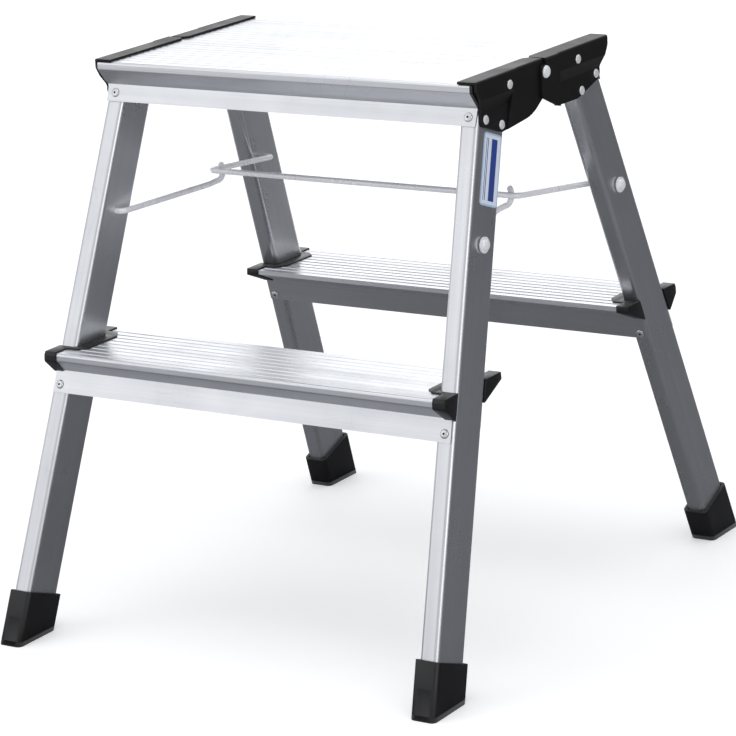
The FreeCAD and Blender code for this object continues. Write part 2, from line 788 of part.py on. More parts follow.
def plate_holes(side):
    """Rivet holes and the pin hole of a hinge plate."""
    holes = [rivet_hole(*place) for place in plate_rivet_places(side)]
    holes.append(rod(V(side * FLAT_PLATE_IN_X / 2, 0, PIN_Z), V(side * FAR, 0, PIN_Z),
                     PIN_RADIUS + RUNNING_FIT))
    return holes


def flat_plate():
    """Right hinge plate: pressed outwards over the stile, its ear behind the other's."""
    web = along_x(side_face(*flat_outline()), 0, FAR)
    over = web.common(web_slab(PLATE_LIP_GAP, PLATFORM.nose)).common(stile_zone())
    sunk_sheet = along_x(side_face([
        (-PLATE_EAR_RADIUS, TOP_Z),
        (back_u(TOP_Z), TOP_Z),
        (back_u(TOP_Z - 2 * PLATE_BACK_DROP), TOP_Z - 2 * PLATE_BACK_DROP),
        (-PLATE_EAR_RADIUS, TOP_Z - 2 * PLATE_BACK_DROP),
    ]), FLAT_PLATE_IN_X, FLAT_PLATE_IN_X + PLATE_WALL)
    sunk = web.common(sunk_sheet)
    back = back_u(PLATFORM.top) - PLATE_JOGGLE
    lips = [lip(PLATE_IN_X, back, PLATFORM.nose), lip(FLAT_PLATE_IN_X, PLATE_LIP_GAP, back)]
    return fuse_all([over, sunk, ear(FLAT_PLATE_IN_X)] + lips).cut(plate_holes(1))


def lapped_plate():
    """Left hinge plate: its ear lies outside the other frame's."""
    web = along_x(side_face(*lapped_outline()), 0, FAR)
    over = web.common(web_slab(PLATE_LAP_WIDTH - PLATE_JOGGLE, PLATFORM.nose))
    sheet = front_slab([
        (LAP_IN_X, TOP_Z),
        (LAP_IN_X + PLATE_WALL, TOP_Z),
        (LAP_IN_X + PLATE_WALL, 0),
        (LAP_IN_X, 0),
    ], -LAP_REACH, PLATE_LAP_WIDTH)
    lap = web.common(sheet)
    lips = [lip(PLATE_IN_X, PLATE_LAP_WIDTH, PLATFORM.nose), lip(LAP_IN_X, PLATE_LIP_GAP, PLATE_LAP_WIDTH)]
    body = fuse_all([over, lap] + lips)
    return mirrored(body, -1).cut(plate_holes(-1))


def foot(side):
    """Moulded foot: a shoe round the stile's end with a thicker band and a grooved sole."""
    body = fuse_all([foot_part(side, FOOT_HEIGHT, FOOT_WALL), foot_part(side, FOOT_BAND, FOOT_BAND_WALL)])
    cuts = [stile_prism(side, STILE_FLOOR_GAP, 3 * FOOT_HEIGHT, FOOT_FIT, STILE_CORNER)]
    for index in range(FOOT_GROOVES):
        shift = (index - (FOOT_GROOVES - 1) / 2) * FOOT_GROOVE_PITCH
        centre = middle_u(0) + shift
        low = centre - FOOT_GROOVE_WIDTH / 2
        high = centre + FOOT_GROOVE_WIDTH / 2
        groove = side_face([(low, -1), (high, -1), (high, FOOT_GROOVE_DEPTH), (low, FOOT_GROOVE_DEPTH)])
        cuts.append(along_x(groove, -FAR, FAR))
    return body.cut(cuts)


def foot_part(side, height, wall):
    """Shoe round the stile's end, cut square to the stile at a height on its middle."""
    prism = stile_prism(side, 0.0, 3 * FOOT_HEIGHT, wall, STILE_CORNER + wall)
    middle = middle_u(height)
    reach = 2 * STILE_DEPTH
    left = (middle - reach * COS_LEAN, height - reach * SIN_LEAN)
    right = (middle + reach * COS_LEAN, height + reach * SIN_LEAN)
    lift = 4 * FOOT_HEIGHT
    above = side_face([left, right, (right[0], right[1] + lift), (left[0], left[1] + lift)])
    return prism.cut(along_x(above, -FAR, FAR))


def rivet_group(places):
    """Skirt rivets as one group of solids."""
    return Part.makeCompound([rivet(base, axis, SKIRT_GRIP) for base, axis in places])


def front_frame():
    """Every piece that is fixed to the front frame."""
    return {
        "left_stile": stile(-1),
        "right_stile": stile(1),
        "platform": platform(),
        "platform_spacer": platform_spacer(),
        "step": step(),
        "left_step_cap": step_cap(-1),
        "right_step_cap": step_cap(1),
        "left_hinge_plate": lapped_plate(),
        "right_hinge_plate": flat_plate(),
        "left_foot": foot(-1),
        "right_foot": foot(1),
        "platform_rivets": rivet_group(platform_rivet_places()),
        "step_rivets": rivet_group(step_rivet_places()),
        "hinge_plate_rivets": Part.makeCompound([
            rivet(*place) for side in (-1, 1) for place in plate_rivet_places(side)
        ]),
    }


def half_turn(shape):
    """The same shape on the other frame."""
    return shape.rotated(V(0, 0, 0), V(0, 0, 1), 180)


def swapped(name):
    """A piece's name after the half turn, which swaps left and right."""
    if name.startswith("left_"):
        return "right_" + name[len("left_"):]
    if name.startswith("right_"):
        return "left_" + name[len("right_"):]
    return name


def hinge_pin():
    """Pin of the right hinge, headed outside the lapped plate and inside the flat one."""
    tail_start = FLAT_PLATE_IN_X - PIN_TAIL_GAP - PIN_TAIL_WALL
    tail_end = FLAT_PLATE_IN_X - PIN_TAIL_GAP
    head = LAP_IN_X + PLATE_WALL
    profile = [
        (0.0, tail_start),
        (PIN_TAIL_RADIUS, tail_start),
        (PIN_TAIL_RADIUS, tail_end),
        (PIN_RADIUS, tail_end),
        (PIN_RADIUS, head),
    ]
    profile += dome(PIN_HEAD_RADIUS, PIN_HEAD_RISE, head)
    return turned(profile, V(0, 0, PIN_Z), V(1, 0, 0))


def bent_rod(points, bends):
    """Round wire along straight runs, with an arc of its bend radius at each turn."""
    edges = []
    start = points[0]
    for index in range(1, len(points) - 1):
        corner = points[index]
        before = (points[index - 1] - corner).normalize()
        after = (points[index + 1] - corner).normalize()
        radius = bends[index - 1]
        half = before.getAngle(after) / 2
        enter = corner + before * (radius / math.tan(half))
        leave = corner + after * (radius / math.tan(half))
        centre = corner + (before + after).normalize() * (radius / math.sin(half))
        middle = centre + (corner - centre).normalize() * radius
        edges.append(Part.LineSegment(start, enter).toShape())
        edges.append(Part.Arc(enter, middle, leave).toShape())
        start = leave
    edges.append(Part.LineSegment(start, points[-1]).toShape())
    return edges


def swept(edges, start, direction):
    """Round wire of the stay's section along the edges."""
    ring = Part.Wire([Part.makeCircle(STAY_RADIUS, start, direction)])
    return Part.Wire(edges).makePipeShell([ring], True, False)


def washer_face():
    """Outer face of a stay washer, clear of the splayed stile."""
    return outer_x(STAY_PIVOT_Z) + WASHER_RADIUS * SPLAY + WASHER_GAP + WASHER_WALL


def stay_head(side, y):
    """Peened head on the end of a stay wire."""
    base = V(side * washer_face(), y, STAY_PIVOT_Z)
    profile = [(0.0, 0.0)] + dome(STAY_HEAD_RADIUS, STAY_HEAD_RISE, 0.0)
    return turned(profile, base, V(side, 0, 0))


def stay_washer(side, y):
    """Washer between a stay wire's head and the stile."""
    start = V(side * (washer_face() - WASHER_WALL), y, STAY_PIVOT_Z)
    disc = Part.makeCylinder(WASHER_RADIUS, WASHER_WALL, start, V(side, 0, 0))
    return disc.cut(Part.makeCylinder(STAY_RADIUS + RIVET_FIT, WASHER_WALL, start, V(side, 0, 0)))


def stay_inner_x():
    """Where a stay wire turns inside its stile."""
    return outer_x(STAY_PIVOT_Z) - STILE_WIDTH - STAY_SIDE_GAP - STAY_RADIUS


def stay_bow():
    """Bow of the stay, with both ends in the rear stiles."""
    rear_y = middle_u(STAY_PIVOT_Z)
    end = washer_face()
    turn = stay_inner_x()
    points = [V(-end, rear_y, STAY_PIVOT_Z), V(-turn, rear_y, STAY_PIVOT_Z)]
    points += [V(-BOW_HALF_WIDTH, BOW_BAR_Y, BOW_BAR_Z), V(BOW_HALF_WIDTH, BOW_BAR_Y, BOW_BAR_Z)]
    points += [V(turn, rear_y, STAY_PIVOT_Z), V(end, rear_y, STAY_PIVOT_Z)]
    wire = swept(bent_rod(points, [STAY_BEND] * 4), points[0], V(1, 0, 0))
    return fuse_all([wire, stay_head(-1, rear_y), stay_head(1, rear_y)])


def stay_link(side):
    """Link from a front stile to the bow's bar, with an open hook round the bar."""
    front_y = -middle_u(STAY_PIVOT_Z)
    run = V(0, BOW_BAR_Y - front_y, BOW_BAR_Z - STAY_PIVOT_Z)
    reach = run.Length
    run.normalize()
    rise = V(0, -run.z, run.y)
    seat = HOOK_RADIUS - STAY_RADIUS * 2 - HOOK_BAR_GAP
    centre = V(side * LINK_HOOK_X, BOW_BAR_Y, BOW_BAR_Z) - run * seat
    dip = math.asin(HOOK_RADIUS / (reach - seat))
    along = run * math.cos(dip) - rise * math.sin(dip)
    over = V(0, -along.z, along.y)
    under = centre - over * HOOK_RADIUS
    end = V(side * washer_face(), front_y, STAY_PIVOT_Z)
    turn = V(side * stay_inner_x(), front_y, STAY_PIVOT_Z)
    knee = under - along * (2 * HOOK_RADIUS)
    edges = bent_rod([end, turn, knee, under], [STAY_BEND, 4 * STAY_BEND])
    tip_angle = math.radians(HOOK_TIP_DEG)
    half_angle = (tip_angle - math.pi / 2) / 2
    middle = centre + (along * math.cos(half_angle) + over * math.sin(half_angle)) * HOOK_RADIUS
    tip = centre + (along * math.cos(tip_angle) + over * math.sin(tip_angle)) * HOOK_RADIUS
    edges.append(Part.Arc(under, middle, tip).toShape())
    wire = swept(edges, end, V(-side, 0, 0))
    return fuse_all([wire, stay_head(side, front_y)])


def pieces():
    """Every node of the stool by name."""
    nodes = {}
    for name, shape in front_frame().items():
        nodes["front_" + name] = shape
        nodes["rear_" + swapped(name)] = half_turn(shape)
    nodes["right_hinge_pin"] = hinge_pin()
    nodes["left_hinge_pin"] = half_turn(hinge_pin())
    nodes["stay_bow"] = stay_bow()
    rear_y = middle_u(STAY_PIVOT_Z)
    nodes["stay_bow_washers"] = Part.makeCompound([stay_washer(side, rear_y) for side in (-1, 1)])
    for side, label in ((-1, "left"), (1, "right")):
        nodes[label + "_stay_link"] = stay_link(side)
        nodes[label + "_stay_link_washer"] = stay_washer(side, -rear_y)
    return nodes


def main():
    """Write each piece to its own file."""
    os.makedirs("parts", exist_ok=True)
    for name, shape in sorted(pieces().items()):
        shape.exportStep("parts/" + name + ".step")
        print(name, len(shape.Solids), "solids", "%.1f cm3" % (shape.Volume / 1000), shape.isValid())


main()
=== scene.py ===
"""Dresses the folding step stool and sets up its studio picture."""
import json
import logging
import math
from dataclasses import dataclass
from enum import Enum
from typing import Callable, Union

import bmesh
import bpy
from mathutils import Matrix, Vector

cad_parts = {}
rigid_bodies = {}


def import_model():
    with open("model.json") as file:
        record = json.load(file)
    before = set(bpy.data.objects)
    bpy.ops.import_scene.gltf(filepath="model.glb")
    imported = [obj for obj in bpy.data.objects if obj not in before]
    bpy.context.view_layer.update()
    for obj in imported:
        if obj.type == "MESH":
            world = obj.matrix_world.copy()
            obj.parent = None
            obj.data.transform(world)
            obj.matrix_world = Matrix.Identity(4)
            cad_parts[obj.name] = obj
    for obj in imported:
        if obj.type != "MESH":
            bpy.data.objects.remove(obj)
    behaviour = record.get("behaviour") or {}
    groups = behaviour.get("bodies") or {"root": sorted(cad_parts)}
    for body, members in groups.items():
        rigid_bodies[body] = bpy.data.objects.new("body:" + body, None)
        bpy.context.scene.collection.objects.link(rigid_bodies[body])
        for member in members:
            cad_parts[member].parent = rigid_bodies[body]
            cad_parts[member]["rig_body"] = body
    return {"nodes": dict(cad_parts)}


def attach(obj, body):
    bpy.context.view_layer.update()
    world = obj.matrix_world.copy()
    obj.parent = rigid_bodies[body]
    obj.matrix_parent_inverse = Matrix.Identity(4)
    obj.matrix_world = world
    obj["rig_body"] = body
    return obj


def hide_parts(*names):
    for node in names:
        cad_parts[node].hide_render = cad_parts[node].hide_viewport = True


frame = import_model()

log = logging.getLogger("stool")

Colour = tuple[float, float, float]
Span = tuple[float, float]
Value = Union[bpy.types.NodeSocket, float]
FaceTest = Callable[[bpy.types.MeshPolygon], bool]

# Sizes are in metres and angles in radians, unless a docstring says otherwise. These
# seven repeat the solid model's. X and U are those of a stile's faces at TOP_Z, where U
# runs from the hinge's plane out to the front or to the rear.
LEAN = math.radians(20.1)
SPLAY = math.radians(4.05)
TOP_Z = 0.470
STILE_OUTER_X = 0.178
STILE_FRONT_U = 0.0859
STILE_DEPTH = 0.040
STILE_WIDTH = 0.017

# On the head of a skirt rivet: the mandrel's recess, whose end is painted near black as painted shade in
# the hollow, and where the rim with its painted shadow and dark reflection starts.
RECESS_RADIUS = 0.00115
PAINTED_SHADE_RIM_RADIUS = 0.0035

# Faces that meet at less than this angle are shaded as one.
SMOOTH_ANGLE = math.radians(32)
# Cosine from which a face counts as square to a direction.
SQUARE_ON = 0.999
# Cosine from which a direction counts as nearly upright.
NEARLY_UPRIGHT = 0.9

X_AXIS = Vector((1, 0, 0))
Z_AXIS = Vector((0, 0, 1))


class Half(Enum):
    """The two frames of the stool, and the way each one leans."""

    FRONT = -1
    REAR = 1

    @property
    def label(self) -> str:
        """Word that starts the names of the frame's nodes."""
        return self.name.lower()

    @property
    def body(self) -> str:
        """Name of the body that the frame's pieces ride on."""
        return self.label + "_frame"

    @property
    def face_normal(self) -> Vector:
        """Direction in which the stiles' outer faces and the skirts look."""
        return Vector((0, self.value, math.tan(LEAN))).normalized()


class Side(Enum):
    """Left and right, as seen from in front of the front step."""

    LEFT = -1
    RIGHT = 1

    @property
    def label(self) -> str:
        """Word that names the side in a node's name."""
        return self.name.lower()


def stile_axis(half: Half, side: Side) -> Vector:
    """Direction down a stile.

    Args:
        half: The frame that the stile belongs to.
        side: The stile's side.

    Returns:
        A unit vector that points from the stile's top to its foot.
    """
    return Vector((side.value * math.tan(SPLAY), half.value * math.tan(LEAN), -1.0)).normalized()


def stile_point(half: Half, side: Side, z: float, inset: float = 0.0) -> Vector:
    """Point on or behind a stile's outer face, halfway across the stile's depth.

    Args:
        half: The frame that the stile belongs to.
        side: The stile's side.
        z: The point's height.
        inset: How far the point lies inside the outer face.

    Returns:
        The point.
    """
    drop = TOP_Z - z
    x = STILE_OUTER_X + drop * math.tan(SPLAY) - inset / math.cos(SPLAY)
    u = STILE_FRONT_U + drop * math.tan(LEAN) - STILE_DEPTH / math.cos(LEAN) / 2
    return Vector((side.value * x, half.value * u, z))


def outlook(azimuth: float, elevation: float) -> Vector:
    """Direction from the stool towards a lamp or the camera.

    Args:
        azimuth: Turn from straight in front towards the right.
        elevation: Rise above the floor.

    Returns:
        A unit vector.
    """
    level = math.cos(elevation)
    return Vector((math.sin(azimuth) * level, -math.cos(azimuth) * level, math.sin(elevation)))


class NodeSketch:
    """Adds and joins the nodes of one tree."""

    def __init__(self, tree: bpy.types.NodeTree) -> None:
        """Keep the tree that the nodes go into."""
        self.tree = tree

    def add(self, kind: str, **settings: object) -> bpy.types.Node:
        """Add one node.

        Args:
            kind: Blender's name of the node type.
            **settings: Properties of the node, by name.

        Returns:
            The new node.
        """
        node = self.tree.nodes.new(kind)
        for name, value in settings.items():
            setattr(node, name, value)
        return node

    def join(self, output: bpy.types.NodeSocket, target: bpy.types.NodeSocket) -> None:
        """Link an output to an input."""
        self.tree.links.new(output, target)

    def feed(self, value: Value, target: bpy.types.NodeSocket) -> None:
        """Link a socket to an input, or set the input to a number.

        Args:
            value: A socket or a number.
            target: The input.
        """
        if isinstance(value, bpy.types.NodeSocket):
            self.join(value, target)
        else:
            target.default_value = value

    def math(self, operation: str, first: Value, second: Value = 0.0) -> bpy.types.NodeSocket:
        """Add a Math node.

        Args:
            operation: The Math node's operation.
            first: A socket or a number.
            second: A socket or a number.

        Returns:
            The node's output.
        """
        node = self.add("ShaderNodeMath", operation=operation)
        self.feed(first, node.inputs[0])
        self.feed(second, node.inputs[1])
        return node.outputs[0]

    def noise(self, vector: bpy.types.NodeSocket, scale: Value, **settings: float) -> bpy.types.NodeSocket:
        """Add a Noise Texture node.

        Args:
            vector: Where the noise is read.
            scale: A socket or a number.
            **settings: Numbers for its other inputs, by name.

        Returns:
            The noise, from 0 to 1.
        """
        node = self.add("ShaderNodeTexNoise")
        self.join(vector, node.inputs["Vector"])
        self.feed(scale, node.inputs["Scale"])
        for name, value in settings.items():
            node.inputs[name].default_value = value
        return node.outputs["Fac"]

    def spread(self, value: bpy.types.NodeSocket, low: float, high: float,
               from_low: float = 0.0, from_high: float = 1.0) -> bpy.types.NodeSocket:
        """Map a value onto a range.

        Args:
            value: The value to map.
            low: The result at from_low.
            high: The result at from_high.
            from_low: The lower end of the value's range.
            from_high: The upper end of the value's range.

        Returns:
            The mapped value.
        """
        node = self.add("ShaderNodeMapRange")
        self.join(value, node.inputs["Value"])
        node.inputs["From Min"].default_value = from_low
        node.inputs["From Max"].default_value = from_high
        node.inputs["To Min"].default_value = low
        node.inputs["To Max"].default_value = high
        return node.outputs["Result"]

    def blend(self, mask: bpy.types.NodeSocket, first: Union[bpy.types.NodeSocket, Colour],
              second: Union[bpy.types.NodeSocket, Colour]) -> bpy.types.NodeSocket:
        """Mix two colours by a mask.

        Args:
            mask: 0 for the first colour, 1 for the second.
            first: A colour or a socket.
            second: A colour or a socket.

        Returns:
            The mixed colour.
        """
        node = self.add("ShaderNodeMix", data_type="RGBA")
        self.join(mask, node.inputs[0])
        for index, value in ((6, first), (7, second)):
            if isinstance(value, bpy.types.NodeSocket):
                self.join(value, node.inputs[index])
            else:
                node.inputs[index].default_value = (*value, 1.0)
        return node.outputs[2]


def node_group(name: str, inputs: dict[str, str],
               outputs: dict[str, str]) -> tuple[NodeSketch, bpy.types.Node, bpy.types.Node]:
    """Start a shader node group.

    Args:
        name: The group's name.
        inputs: Socket types by input name.
        outputs: Socket types by output name.

    Returns:
        The sketch of the group's tree, its input node and its output node.
    """
    tree = bpy.data.node_groups.new(name, "ShaderNodeTree")
    for label, kind in inputs.items():
        tree.interface.new_socket(name=label, in_out="INPUT", socket_type=kind)
    for label, kind in outputs.items():
        tree.interface.new_socket(name=label, in_out="OUTPUT", socket_type=kind)
    sketch = NodeSketch(tree)
    return sketch, sketch.add("NodeGroupInput"), sketch.add("NodeGroupOutput")


def drawn_grain_group() -> bpy.types.NodeTree:
    """Lines that a die leaves along an extrusion.

    Returns:
        A group from a vector with its X along the metal, and a number of lines in a
        metre, to fine and broad streaks.
    """
    sketch, start, end = node_group(
        "drawn_grain",
        {"Vector": "NodeSocketVector", "Lines": "NodeSocketFloat"},
        {"Fine": "NodeSocketFloat", "Broad": "NodeSocketFloat"},
    )
    share_and_waves_along = {"Fine": (1.0, 3.0), "Broad": (0.09, 0.9)}
    contrast = (0.28, 0.72)
    for label, (share, along) in share_and_waves_along.items():
        lines = sketch.math("MULTIPLY", start.outputs["Lines"], share)
        scale = sketch.add("ShaderNodeCombineXYZ")
        scale.inputs["X"].default_value = along
        sketch.join(lines, scale.inputs["Y"])
        sketch.join(lines, scale.inputs["Z"])
        stretch = sketch.add("ShaderNodeVectorMath", operation="MULTIPLY")
        sketch.join(start.outputs["Vector"], stretch.inputs[0])
        sketch.join(scale.outputs[0], stretch.inputs[1])
        streaks = sketch.noise(stretch.outputs[0], 1.0, Detail=3.0, Roughness=0.6)
        sketch.join(sketch.spread(streaks, 0.0, 1.0, *contrast), end.inputs[label])
    return sketch.tree


def handling_group() -> bpy.types.NodeTree:
    """Faint smudges, dust and small scuffs from use.

    Returns:
        A group from a position to a cloudy mask and a mask of small marks.
    """
    sketch, start, end = node_group(
        "handling",
        {"Vector": "NodeSocketVector", "Size": "NodeSocketFloat"},
        {"Cloud": "NodeSocketFloat", "Marks": "NodeSocketFloat"},
    )
    contrast = (0.3, 0.7)
    patch_edge = (0.55, 0.66)
    marks_in_cloud = 5.0
    mark_width = 0.02
    vector, size = start.outputs["Vector"], start.outputs["Size"]
    cloud = sketch.noise(vector, size, Detail=4.0, Roughness=0.55, Distortion=0.6)
    sketch.join(sketch.spread(cloud, 0.0, 1.0, *contrast), end.inputs["Cloud"])
    marks = sketch.add("ShaderNodeTexVoronoi", feature="DISTANCE_TO_EDGE")
    sketch.join(vector, marks.inputs["Vector"])
    sketch.join(sketch.math("MULTIPLY", size, marks_in_cloud), marks.inputs["Scale"])
    thin = sketch.spread(marks.outputs["Distance"], 1.0, 0.0, 0.0, mark_width)
    patch = sketch.spread(cloud, 0.0, 1.0, *patch_edge)
    sketch.join(sketch.math("MULTIPLY", thin, patch), end.inputs["Marks"])
    return sketch.tree


def pebble_group() -> bpy.types.NodeTree:
    """Fine pebbled skin of moulded plastic or stoved paint.

    Returns:
        A group from a position and a number of grains in a metre to a height.
    """
    sketch, start, end = node_group(
        "pebble",
        {"Vector": "NodeSocketVector", "Grains": "NodeSocketFloat"},
        {"Height": "NodeSocketFloat"},
    )
    roughness_share = 0.6
    vector, grains = start.outputs["Vector"], start.outputs["Grains"]
    cells = sketch.add("ShaderNodeTexVoronoi", feature="SMOOTH_F1")
    cells.inputs["Smoothness"].default_value = 0.6
    sketch.join(vector, cells.inputs["Vector"])
    sketch.join(grains, cells.inputs["Scale"])
    rough = sketch.noise(vector, sketch.math("MULTIPLY", grains, roughness_share), Detail=2.0)
    both = sketch.math("ADD", cells.outputs["Distance"], rough)
    sketch.join(sketch.math("MULTIPLY", both, 0.5), end.inputs["Height"])
    return sketch.tree


class Groups:
    """The node groups that the finishes share, each built once."""

    def __init__(self) -> None:
        """Build every group."""
        self.drawn_grain = drawn_grain_group()
        self.handling = handling_group()
        self.pebble = pebble_group()


@dataclass
class Surface:
    """A material in the making: its tree, its shader and its position vector."""

    material: bpy.types.Material
    sketch: NodeSketch
    shader: bpy.types.Node
    position: bpy.types.NodeSocket

    def use(self, group: bpy.types.NodeTree, **values: float) -> bpy.types.Node:
        """Place a node group on the surface's position.

        Args:
            group: The group's tree.
            **values: Numbers for its inputs, by name.

        Returns:
            The group node.
        """
        node = self.sketch.add("ShaderNodeGroup", node_tree=group)
        self.sketch.join(self.position, node.inputs["Vector"])
        for name, value in values.items():
            node.inputs[name].default_value = value
        return node

    def haze(self, cloud: bpy.types.NodeSocket, roughness: float, swing: Span) -> None:
        """Let the roughness swing with the smudges.

        Args:
            cloud: The smudges' mask.
            roughness: The finish's own roughness.
            swing: What is added to it where there is no smudge, and in a full one.
        """
        clean, smudged = swing
        rough = self.sketch.spread(cloud, roughness + clean, roughness + smudged)
        self.sketch.join(rough, self.shader.inputs["Roughness"])

    def bump(self, height: bpy.types.NodeSocket, strength: float, distance: float) -> None:
        """Raise the surface by a height.

        Args:
            height: The height, from 0 to 1.
            strength: How much of the bump shows.
            distance: The rise at a height of 1.
        """
        node = self.sketch.add("ShaderNodeBump")
        node.inputs["Strength"].default_value = strength
        node.inputs["Distance"].default_value = distance
        self.sketch.join(height, node.inputs["Height"])
        self.sketch.join(node.outputs[0], self.shader.inputs["Normal"])


def new_surface(name: str, along: Vector = X_AXIS, centre: Vector = Vector()) -> Surface:
    """Start a material whose pattern runs along one direction.

    Args:
        name: The material's name.
        along: Direction that becomes the pattern's X.
        centre: Point that becomes the pattern's origin.

    Returns:
        The surface to go on with.
    """
    material = bpy.data.materials.new(name)
    material.use_nodes = True
    sketch = NodeSketch(material.node_tree)
    shader = material.node_tree.nodes["Principled BSDF"]
    place = sketch.add("ShaderNodeTexCoord")
    across = along.cross(Z_AXIS if abs(along.z) < NEARLY_UPRIGHT else X_AXIS).normalized()
    turn = Matrix((along, across, along.cross(across)))
    mapping = sketch.add("ShaderNodeMapping")
    mapping.inputs["Rotation"].default_value = turn.to_euler()
    mapping.inputs["Location"].default_value = turn @ -centre
    sketch.join(place.outputs["Object"], mapping.inputs["Vector"])
    return Surface(material, sketch, shader, mapping.outputs[0])


@dataclass(frozen=True)
class ExtrudedAluminium:
    """Satin mill finish with die lines along the extrusion."""

    light: Colour = (0.79, 0.80, 0.82)
    dark: Colour = (0.66, 0.67, 0.70)
    metallic: float = 0.96
    roughness: float = 0.30
    streak_swing: Span = (0.05, -0.05)
    smudge_swing: Span = (-0.04, 0.07)
    smudge_size: float = 14.0
    scuffed: Colour = (0.45, 0.45, 0.46)
    scuff_share: float = 0.35
    lines: float = 900.0
    fine_share: float = 0.35
    line_depth: float = 0.12
    bump_distance: float = 0.0003

    def material(self, groups: Groups, name: str, along: Vector) -> bpy.types.Material:
        """Build the material.

        Args:
            groups: The shared node groups.
            name: The material's name.
            along: Direction of the extrusion.

        Returns:
            The material.
        """
        surface = new_surface(name, along)
        sketch = surface.sketch
        grain = surface.use(groups.drawn_grain, Lines=self.lines)
        wear = surface.use(groups.handling, Size=self.smudge_size)
        fine = sketch.math("MULTIPLY", grain.outputs["Fine"], self.fine_share)
        broad = sketch.math("MULTIPLY", grain.outputs["Broad"], 1 - self.fine_share)
        colour = sketch.blend(sketch.math("ADD", fine, broad), self.dark, self.light)
        scuffs = sketch.math("MULTIPLY", wear.outputs["Marks"], self.scuff_share)
        sketch.join(sketch.blend(scuffs, colour, self.scuffed), surface.shader.inputs["Base Color"])
        streaks = sketch.spread(grain.outputs["Broad"], *self.streak_swing)
        smudges = sketch.spread(wear.outputs["Cloud"], *self.smudge_swing)
        haze = sketch.math("ADD", streaks, smudges)
        sketch.join(sketch.math("ADD", haze, self.roughness), surface.shader.inputs["Roughness"])
        surface.shader.inputs["Metallic"].default_value = self.metallic
        surface.bump(grain.outputs["Fine"], self.line_depth, self.bump_distance)
        return surface.material


@dataclass(frozen=True)
class BlackSkin:
    """Black moulding or stoved paint with a pebbled skin."""

    deep: Colour
    dusty: Colour
    specular: float
    grains: float
    grain_depth: float
    bump_distance: float = 0.0003
    roughness: float = 0.36
    roughness_swing: Span = (-0.05, 0.1)
    smudge_size: float = 22.0
    dust_share: float = 0.8
    rubbed: Colour = (0.04, 0.04, 0.04)
    rub_share: float = 0.25

    def material(self, groups: Groups, name: str) -> bpy.types.Material:
        """Build the material.

        Args:
            groups: The shared node groups.
            name: The material's name.

        Returns:
            The material.
        """
        surface = new_surface(name)
        sketch = surface.sketch
        pebble = surface.use(groups.pebble, Grains=self.grains)
        wear = surface.use(groups.handling, Size=self.smudge_size)
        dust = sketch.math("MULTIPLY", wear.outputs["Cloud"], self.dust_share)
        colour = sketch.blend(dust, self.deep, self.dusty)
        rubs = sketch.math("MULTIPLY", wear.outputs["Marks"], self.rub_share)
        sketch.join(sketch.blend(rubs, colour, self.rubbed), surface.shader.inputs["Base Color"])
        surface.haze(wear.outputs["Cloud"], self.roughness, self.roughness_swing)
        surface.shader.inputs["Specular IOR Level"].default_value = self.specular
        surface.bump(pebble.outputs["Height"], self.grain_depth, self.bump_distance)
        return surface.material


@dataclass(frozen=True)
class BrightMetal:
    """Plated wire, washers and rivet heads."""

    light: Colour
    dark: Colour
    metallic: float
    roughness: float = 0.26
    roughness_swing: Span = (0.08, -0.06)
    smudge_size: float = 300.0
    skin_grains: float = 1400.0
    skin_depth: float = 0.08
    bump_distance: float = 0.0002

    def material(self, groups: Groups, name: str) -> bpy.types.Material:
        """Build the material.

        Args:
            groups: The shared node groups.
            name: The material's name.

        Returns:
            The material.
        """
        surface = new_surface(name)
        wear = surface.use(groups.handling, Size=self.smudge_size)
        colour = surface.sketch.blend(wear.outputs["Cloud"], self.dark, self.light)
        surface.sketch.join(colour, surface.shader.inputs["Base Color"])
        surface.haze(wear.outputs["Cloud"], self.roughness, self.roughness_swing)
        surface.shader.inputs["Metallic"].default_value = self.metallic
        if self.skin_depth > 0:
            skin = surface.use(groups.pebble, Grains=self.skin_grains)
            surface.bump(skin.outputs["Height"], self.skin_depth, self.bump_distance)
        return surface.material


